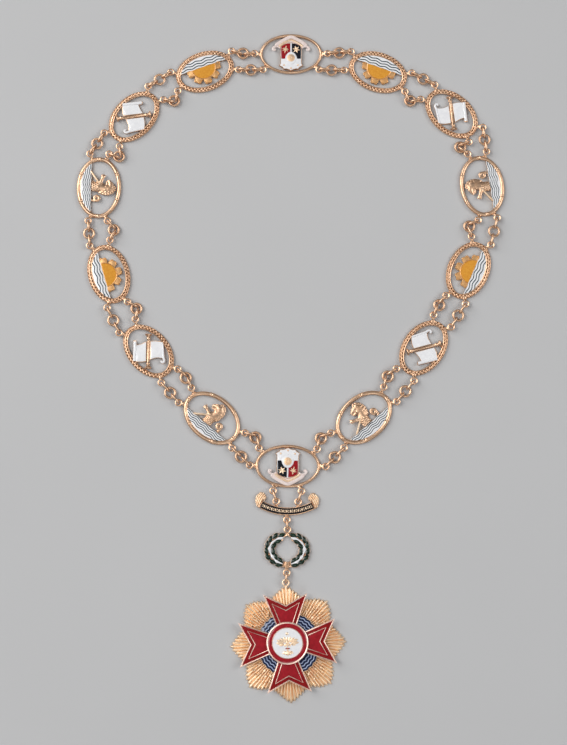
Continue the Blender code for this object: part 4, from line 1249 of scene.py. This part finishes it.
TIE = (
    (((-1.25, -26.6), (1.25, -26.6), (1.4, -21.8), (-1.4, -21.8)), 0.4, 2.4, 0.35),
    (((-1.7, -24.8), (1.7, -24.8), (1.7, -23.4), (-1.7, -23.4)), 0.4, 2.7, 0.35))
green_enamel = enamel("green_enamel", (0.015, 0.036, 0.022), (0.005, 0.011, 0.007), 600.0)
vein_enamel = enamel("vein_enamel", (0.12, 0.16, 0.13), (0.05, 0.08, 0.06), 500.0)


def both_headings(heading):
    """Returns a heading in degrees and its mirror, in radians."""
    return math.radians(heading), math.radians(180 - heading)


leaf_spots, leaf_turns = [], []
for x, y, heading in OUTER_LEAVES + INNER_LEAVES:
    for side, turn in zip((1, -1), both_headings(heading)):
        leaf_spots.append((side * (x - LEAF_SHIFT), y, 0.0))
        leaf_turns.append(turn)
leaf_edges = set_on(leaf_mesh(6.0, 3.5, 0.5, 1.85, 2.0), leaf_spots, leaf_turns)
leaf_glass = set_on(leaf_mesh(5.6, 3.1, 1.5, 2.05, 2.4), leaf_spots, leaf_turns)
leaf_veins = set_on(leaf_mesh(2.4, 0.5, 1.9, 2.25, 2.52), leaf_spots, leaf_turns)
stems, stem_edges, branches = [], [], []
for side in (1, -1):
    line = [(side * x, y, STEM_LEVEL, swell) for x, y, swell in STEM]
    stems.append(smooth_outline(line, 4, False))
    stem_edges.append([(x, y, z - 0.35, swell + 0.5) for x, y, z, swell in stems[-1]])
    branches.append(at_level(smooth_outline(line[1:] + [BRANCH_FOOT], 4, False), BRANCH_LEVEL))
wreath_metal = [
    leaf_edges,
    draw_wires(branches, 2.0, 0.6, 8),
    draw_wires(stem_edges, 0.5, 0.42, 8),
    draw_wires([TOP_BAR], 0.6, 0.6, 8),
    plates_mesh("tie", *TIE),
    moved(eye, (0.0, 0.0, 0.0), math.radians(90.0)),
    moved(eye, (0.0, WREATH_FOOT, 0.0), math.radians(-90.0)),
]
hang("wreath_gilt", wreath_metal, WREATH_PLACE, PENDANT_TURN, gilt, ["wreath"])
hang("wreath_leaves", [leaf_glass], WREATH_PLACE, PENDANT_TURN, green_enamel)
hang("wreath_veins", [leaf_veins], WREATH_PLACE, PENDANT_TURN, vein_enamel)
wreath_stems = [draw_wires(stems, 0.62, 0.5, 8)]
hang("wreath_stems", wreath_stems, WREATH_PLACE, PENDANT_TURN, white_enamel)


# Star. A cast plate of eight bundles of rays, four ending in a point and four broad and stepped, each
# ray a straight gable with a chisel end, with scattered leaves and beads in low relief on the broad ones.
STAR_TURN = math.radians(2.6)
STAR_RADIUS = 39.6
MAIN_RAYS = (1.0, 0.97, 0.93, 0.895, 0.86, 0.835)
BROAD_RAYS = (1.0, 0.965, 0.943, 0.91, 0.868, 0.836, 0.80)
RAY_STEP = 3.75
RAY_OVERLAP = 1.03
RAY_HEIGHTS = (1.0, 0.86, 0.94)
RAY_ROWS = (
    (0.25, 1.0, 2.5, 1.4), (0.6, 1.0, 2.2, 1.0), (0.955, 1.0, 1.85, 0.6), (0.975, 0.75, 1.7, 0.6),
    (1.0, 0.2, 1.2, 0.6))
RELIEF_LEAVES = (
    (-14, 24.5, -28, 0.62), (-7, 26.8, 18, 0.56), (0, 24.2, 8, 0.66), (7, 26.6, -18, 0.6),
    (14, 25.0, 28, 0.6), (-11, 29.3, -62, 0.55), (-4, 30.2, -30, 0.5), (4, 29.8, 70, 0.5),
    (11, 29.3, 12, 0.55), (-17, 28.2, 40, 0.45), (17, 28.0, -50, 0.45), (0, 27.4, 85, 0.45))
RELIEF_BEADS = ((-9, 23.4), (2, 31.8), (10, 23.4), (-8, 31.2), (8, 31.4), (-3, 28.6))
BEAD_LEVEL = 1.6
STAR_BACK = ((0.0, 0.0), (0.94, 0.0), (0.94, 0.75), (0.0, 0.75))
STAR_EYE_STANDOFF = 1.8
low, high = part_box("centre_disc")
STAR_CENTRE = Vector(((low.x + high.x) / 2, (low.y + high.y) / 2, 0.0)) / MM
star_gilt = gilt_metal("star_gilt", (1.0, 0.82, 0.61), (0.95, 0.68, 0.46), 0.42, 0.4)


def ray_mesh():
    """Makes a ray of unit length along +X: a straight-sided gable with a soft ridge and a chisel end."""
    half_step = math.tan(math.radians(RAY_STEP / 2)) * RAY_OVERLAP
    rows = []
    for x, share, ridge, edge in RAY_ROWS:
        half_width = x * half_step * share
        side = ((1.0, 0.0), (1.0, edge), (0.22, ridge - 0.06))
        profile = [(-across, level) for across, level in side] + [(0.0, ridge), *reversed(side)]
        rows.append([(x, half_width * across, level) for across, level in profile])
    return shells_mesh("ray", [(rows, False)])


def polar(reach, angle):
    """Returns a flat point at an angle in radians."""
    return (reach * math.cos(angle), reach * math.sin(angle))


rays, relief, beads = [], [], []
for quarter in range(4):
    rays += [(90 * quarter + RAY_STEP * k, MAIN_RAYS[abs(k)]) for k in range(-5, 6)]
    rays += [(90 * quarter + 45 + RAY_STEP * k, BROAD_RAYS[abs(k)]) for k in range(-6, 7)]
    for aside, reach, lean, size in RELIEF_LEAVES:
        angle = math.radians(90 * quarter + 45 + aside)
        relief.append(((*polar(reach, angle), 0.0), angle + math.radians(lean), (size, size, 1.0)))
    for aside, reach in RELIEF_BEADS:
        beads.append((*polar(reach, math.radians(90 * quarter + 45 + aside)), BEAD_LEVEL))
ray_turns = [math.radians(turn) for turn, share in rays]
ray_sizes = []
for k, (turn, share) in enumerate(rays):
    ray_sizes.append((share * STAR_RADIUS, share * STAR_RADIUS, RAY_HEIGHTS[k % 3]))
star_back = []
for share, level in STAR_BACK:
    row = []
    for turn, length in sorted(rays, key=lambda ray: ray[0] % 360):
        row.append((*polar(max(share * length * STAR_RADIUS, 2.0), math.radians(turn)), level))
    star_back.append(row)
star_metal = [
    set_on(ray_mesh(), [(0.0, 0.0, 0.0)] * len(rays), ray_turns, ray_sizes),
    set_on(leaf_mesh(4.8, 2.6, 1.2, 1.95, 2.5, -0.15), *zip(*relief)),
    set_on(dome_mesh("bead", (0.0, 0.0), 0.6, -0.4, 0.1, 0.8, rings=4, steps=12), beads, [0.0] * len(beads)),
    shells_mesh("star_back", [(star_back, True)]),
    moved(eye_mesh(STAR_EYE_STANDOFF, 1.0, 1.2), (0.0, STAR_RADIUS + STAR_EYE_STANDOFF, 0.0), math.pi / 2),
]
hang("star_rays", star_metal, STAR_CENTRE, STAR_TURN, star_gilt, ["star"])


# Wave ring. A navy enamel ring with a wavy edge and three silvery wavy lines, between the star and the
# cross.
WAVES_ROUND = 32
WAVES_SWING = 0.3
SILVER_LINES = (19.6, 17.5, 15.4)
NAVY_PROFILE = (
    (21.2, WAVES_SWING, 3.15), (21.2, WAVES_SWING, 3.7), (21.0, WAVES_SWING, 3.8), (13.2, 0.0, 3.8),
    (13.2, 0.0, 3.15))
RING_BACK_PROFILE = ((21.5, WAVES_SWING, 2.9), (21.5, WAVES_SWING, 3.3), (13.0, 0.0, 3.25), (13.0, 0.0, 2.9))
navy_enamel = enamel("navy_enamel", (0.018, 0.027, 0.072), (0.009, 0.014, 0.042))
silver_line = enamel("silver_line", (0.42, 0.50, 0.70), (0.28, 0.35, 0.54), 500.0)


def ring_row(radius, swing, level, steps=240):
    """Returns a circle, wavy where it swings."""
    row = []
    for k in range(steps):
        angle = 2 * math.pi * k / steps
        row.append((*polar(radius + swing * math.cos(WAVES_ROUND * angle), angle), level))
    return row


def ring_mesh(name, profile, steps=240):
    """Makes a closed ring from a profile of radii, swings and levels."""
    return shells_mesh(name, [([ring_row(*place, steps) for place in profile], True)])


navy_ring = ring_mesh("navy", NAVY_PROFILE)
wave_lines = draw_wires([ring_row(radius, WAVES_SWING, 3.8) for radius in SILVER_LINES], 0.31, 0.13, 6, True)
hang("wave_ring_enamel", [navy_ring], STAR_CENTRE, STAR_TURN, navy_enamel, ["wave_ring"])
hang("wave_ring_back", [ring_mesh("back", RING_BACK_PROFILE)], STAR_CENTRE, STAR_TURN, star_gilt)
hang("wave_ring_lines", [wave_lines], STAR_CENTRE, STAR_TURN, silver_line)


# Cross. Four notched arms in red enamel between gilt edges, darker along the border, with a thin gilt
# line that repeats the outline inside.
CROSS_REACH = 36.4
CROSS_FLARE = math.radians(24.5)
CROSS_NOTCH = 25.4
ARM_ROOT = (6.1, 9.6)
HUB_RADIUS = 9.5
BORDER_INSET = 0.85
LINE_INSET = 3.1
CROSS_CENTRE = STAR_CENTRE + Vector((-0.7, 0.8, 0.0))
dark_red = enamel("dark_red_enamel", (0.29, 0.011, 0.012), (0.20, 0.007, 0.008))
bright_red = enamel("bright_red_enamel", (0.37, 0.015, 0.024), (0.27, 0.010, 0.016))
line_gilt = gilt_metal("line_gilt", (1.0, 0.80, 0.69), (0.97, 0.67, 0.55), 0.38, 0.3)
tip = (CROSS_REACH * math.sin(CROSS_FLARE), CROSS_REACH * math.cos(CROSS_FLARE))
arm = [(-ARM_ROOT[0], ARM_ROOT[1]), ARM_ROOT, tip, (0.0, CROSS_NOTCH), (-tip[0], tip[1])]
hub = [(HUB_RADIUS * across, HUB_RADIUS * along) for across, along in round_steps(32)]
line_path = at_level(inset(arm, LINE_INSET), 5.42)
arm_parts = (
    ("plate", [plates_mesh("arm", (arm, 4.1, 5.2, 0.15)), rim_wire(arm, 5.2, 0.48, 8)], line_gilt, "gilt"),
    ("border", [plates_mesh("border", (inset(arm, BORDER_INSET), 5.0, 5.38, 0.1))], dark_red, "red_enamel"),
    ("inner", [plates_mesh("inner", (inset(arm, LINE_INSET), 5.2, 5.48, 0.1))], bright_red, "red_enamel"),
    ("line", [draw_wires([line_path], 0.40, 0.42, 8, True)], line_gilt, "gilt"),
)
for key, meshes, finish, slot in arm_parts:
    nodes = ["cross"] if key == "plate" else []
    arms = [plates_mesh("hub", (hub, 4.1, 5.3, 0.1))] if key == "plate" else []
    for quarter in range(4):
        arms += [moved(mesh, (0.0, 0.0, 0.0), math.pi / 2 * quarter) for mesh in meshes]
    hang(f"cross_{key}", arms, CROSS_CENTRE, STAR_TURN, finish, nodes)


# Centre disc. A gilt rim, a ring of dark red enamel, a thin gilt line and a white enamelled dome that
# carries a gilt palmette of generic leaves.
RIM_PROFILE = (
    (14.3, 0.0, 5.8), (14.3, 0.0, 6.8), (14.15, 0.0, 7.1), (13.7, 0.0, 7.3), (13.25, 0.0, 7.1),
    (13.1, 0.0, 6.8), (13.1, 0.0, 6.6), (1.0, 0.0, 6.6), (1.0, 0.0, 5.8))
LINE_PROFILE = ((10.5, 0.0, 6.5), (10.5, 0.0, 7.1), (10.25, 0.0, 7.35), (10.0, 0.0, 7.1), (10.0, 0.0, 6.5))
RED_PROFILE = (
    (13.2, 0.0, 6.4), (13.15, 0.0, 6.8), (12.5, 0.0, 7.05), (11.8, 0.0, 7.1), (11.1, 0.0, 7.05),
    (10.45, 0.0, 6.9), (10.4, 0.0, 6.4))
DISC_STEPS = 96
DOME_RADIUS = 10.1
CROWN_LEAVES = (
    (90, 3.6, 2.2, 0.0, 2.4), (66, 4.4, 2.1, 1.5, 2.3), (42, 5.0, 2.1, 3.1, 1.9), (22, 5.4, 2.1, 4.7, 1.4),
    (4, 5.2, 2.0, 5.2, 0.1), (-14, 3.8, 1.8, 3.8, -0.9), (-50, 2.6, 1.7, 1.4, -1.2))
FOOT_LEAVES = (
    (-90, 3.2, 2.0, 0.0, -6.9), (-62, 3.0, 1.8, 1.2, -6.7), (-34, 3.0, 1.8, 2.4, -6.2),
    (-118, 3.0, 1.8, -1.2, -6.7), (-146, 3.0, 1.8, -2.4, -6.2))
LEAF_LENGTH = 5.0
LEAF_WIDTH = 2.0
PALM_STALK = ((0.0, -5.4, 7.45, 1.2), (0.0, -3.0, 7.55, 0.8), (0.0, -0.4, 7.6, 0.9))
PALM_BAND = ((-1.4, -3.6, 7.55), (1.4, -3.6, 7.55))


palm_leaves = []
for heading, length, width, x, y in CROWN_LEAVES:
    for side, turn in zip((1, -1), both_headings(heading)):
        palm_leaves.append(((side * x, y, 0.0), turn, (length / LEAF_LENGTH, width / LEAF_WIDTH, 1.0)))
for heading, length, width, x, y in FOOT_LEAVES:
    palm_leaves.append(((x, y, 0.0), math.radians(heading), (length / LEAF_LENGTH, width / LEAF_WIDTH, 1.0)))
disc_gilt = [ring_mesh("disc", profile, DISC_STEPS) for profile in (RIM_PROFILE, LINE_PROFILE)]
disc_red = [ring_mesh("disc_red", RED_PROFILE, DISC_STEPS), draw_wires([PALM_BAND], 0.38, 0.3, 8)]
disc_white = [dome_mesh("disc_white", (0.0, 0.0), DOME_RADIUS, 6.6, 7.1, 7.5, steps=64)]
palmette = [
    set_on(leaf_mesh(LEAF_LENGTH, LEAF_WIDTH, 7.15, 7.45, 7.8, -0.12), *zip(*palm_leaves)),
    dome_mesh("bud", (0.0, 6.3), 1.0, 7.2, 7.45, 7.8, rings=5, steps=20),
    dome_mesh("bud", (0.0, 0.4), 1.1, 7.2, 7.5, 7.95, rings=5, steps=20),
    draw_wires([PALM_STALK], 0.5, 0.25, 8),
]
hang("centre_disc_gilt", disc_gilt, CROSS_CENTRE, STAR_TURN, line_gilt, ["centre_disc"])
hang("centre_disc_red", disc_red, CROSS_CENTRE, STAR_TURN, bright_red)
hang("centre_disc_white", disc_white, CROSS_CENTRE, STAR_TURN, white_enamel)
hang("centre_disc_palmette", palmette, CROSS_CENTRE, STAR_TURN, pale_gilt)
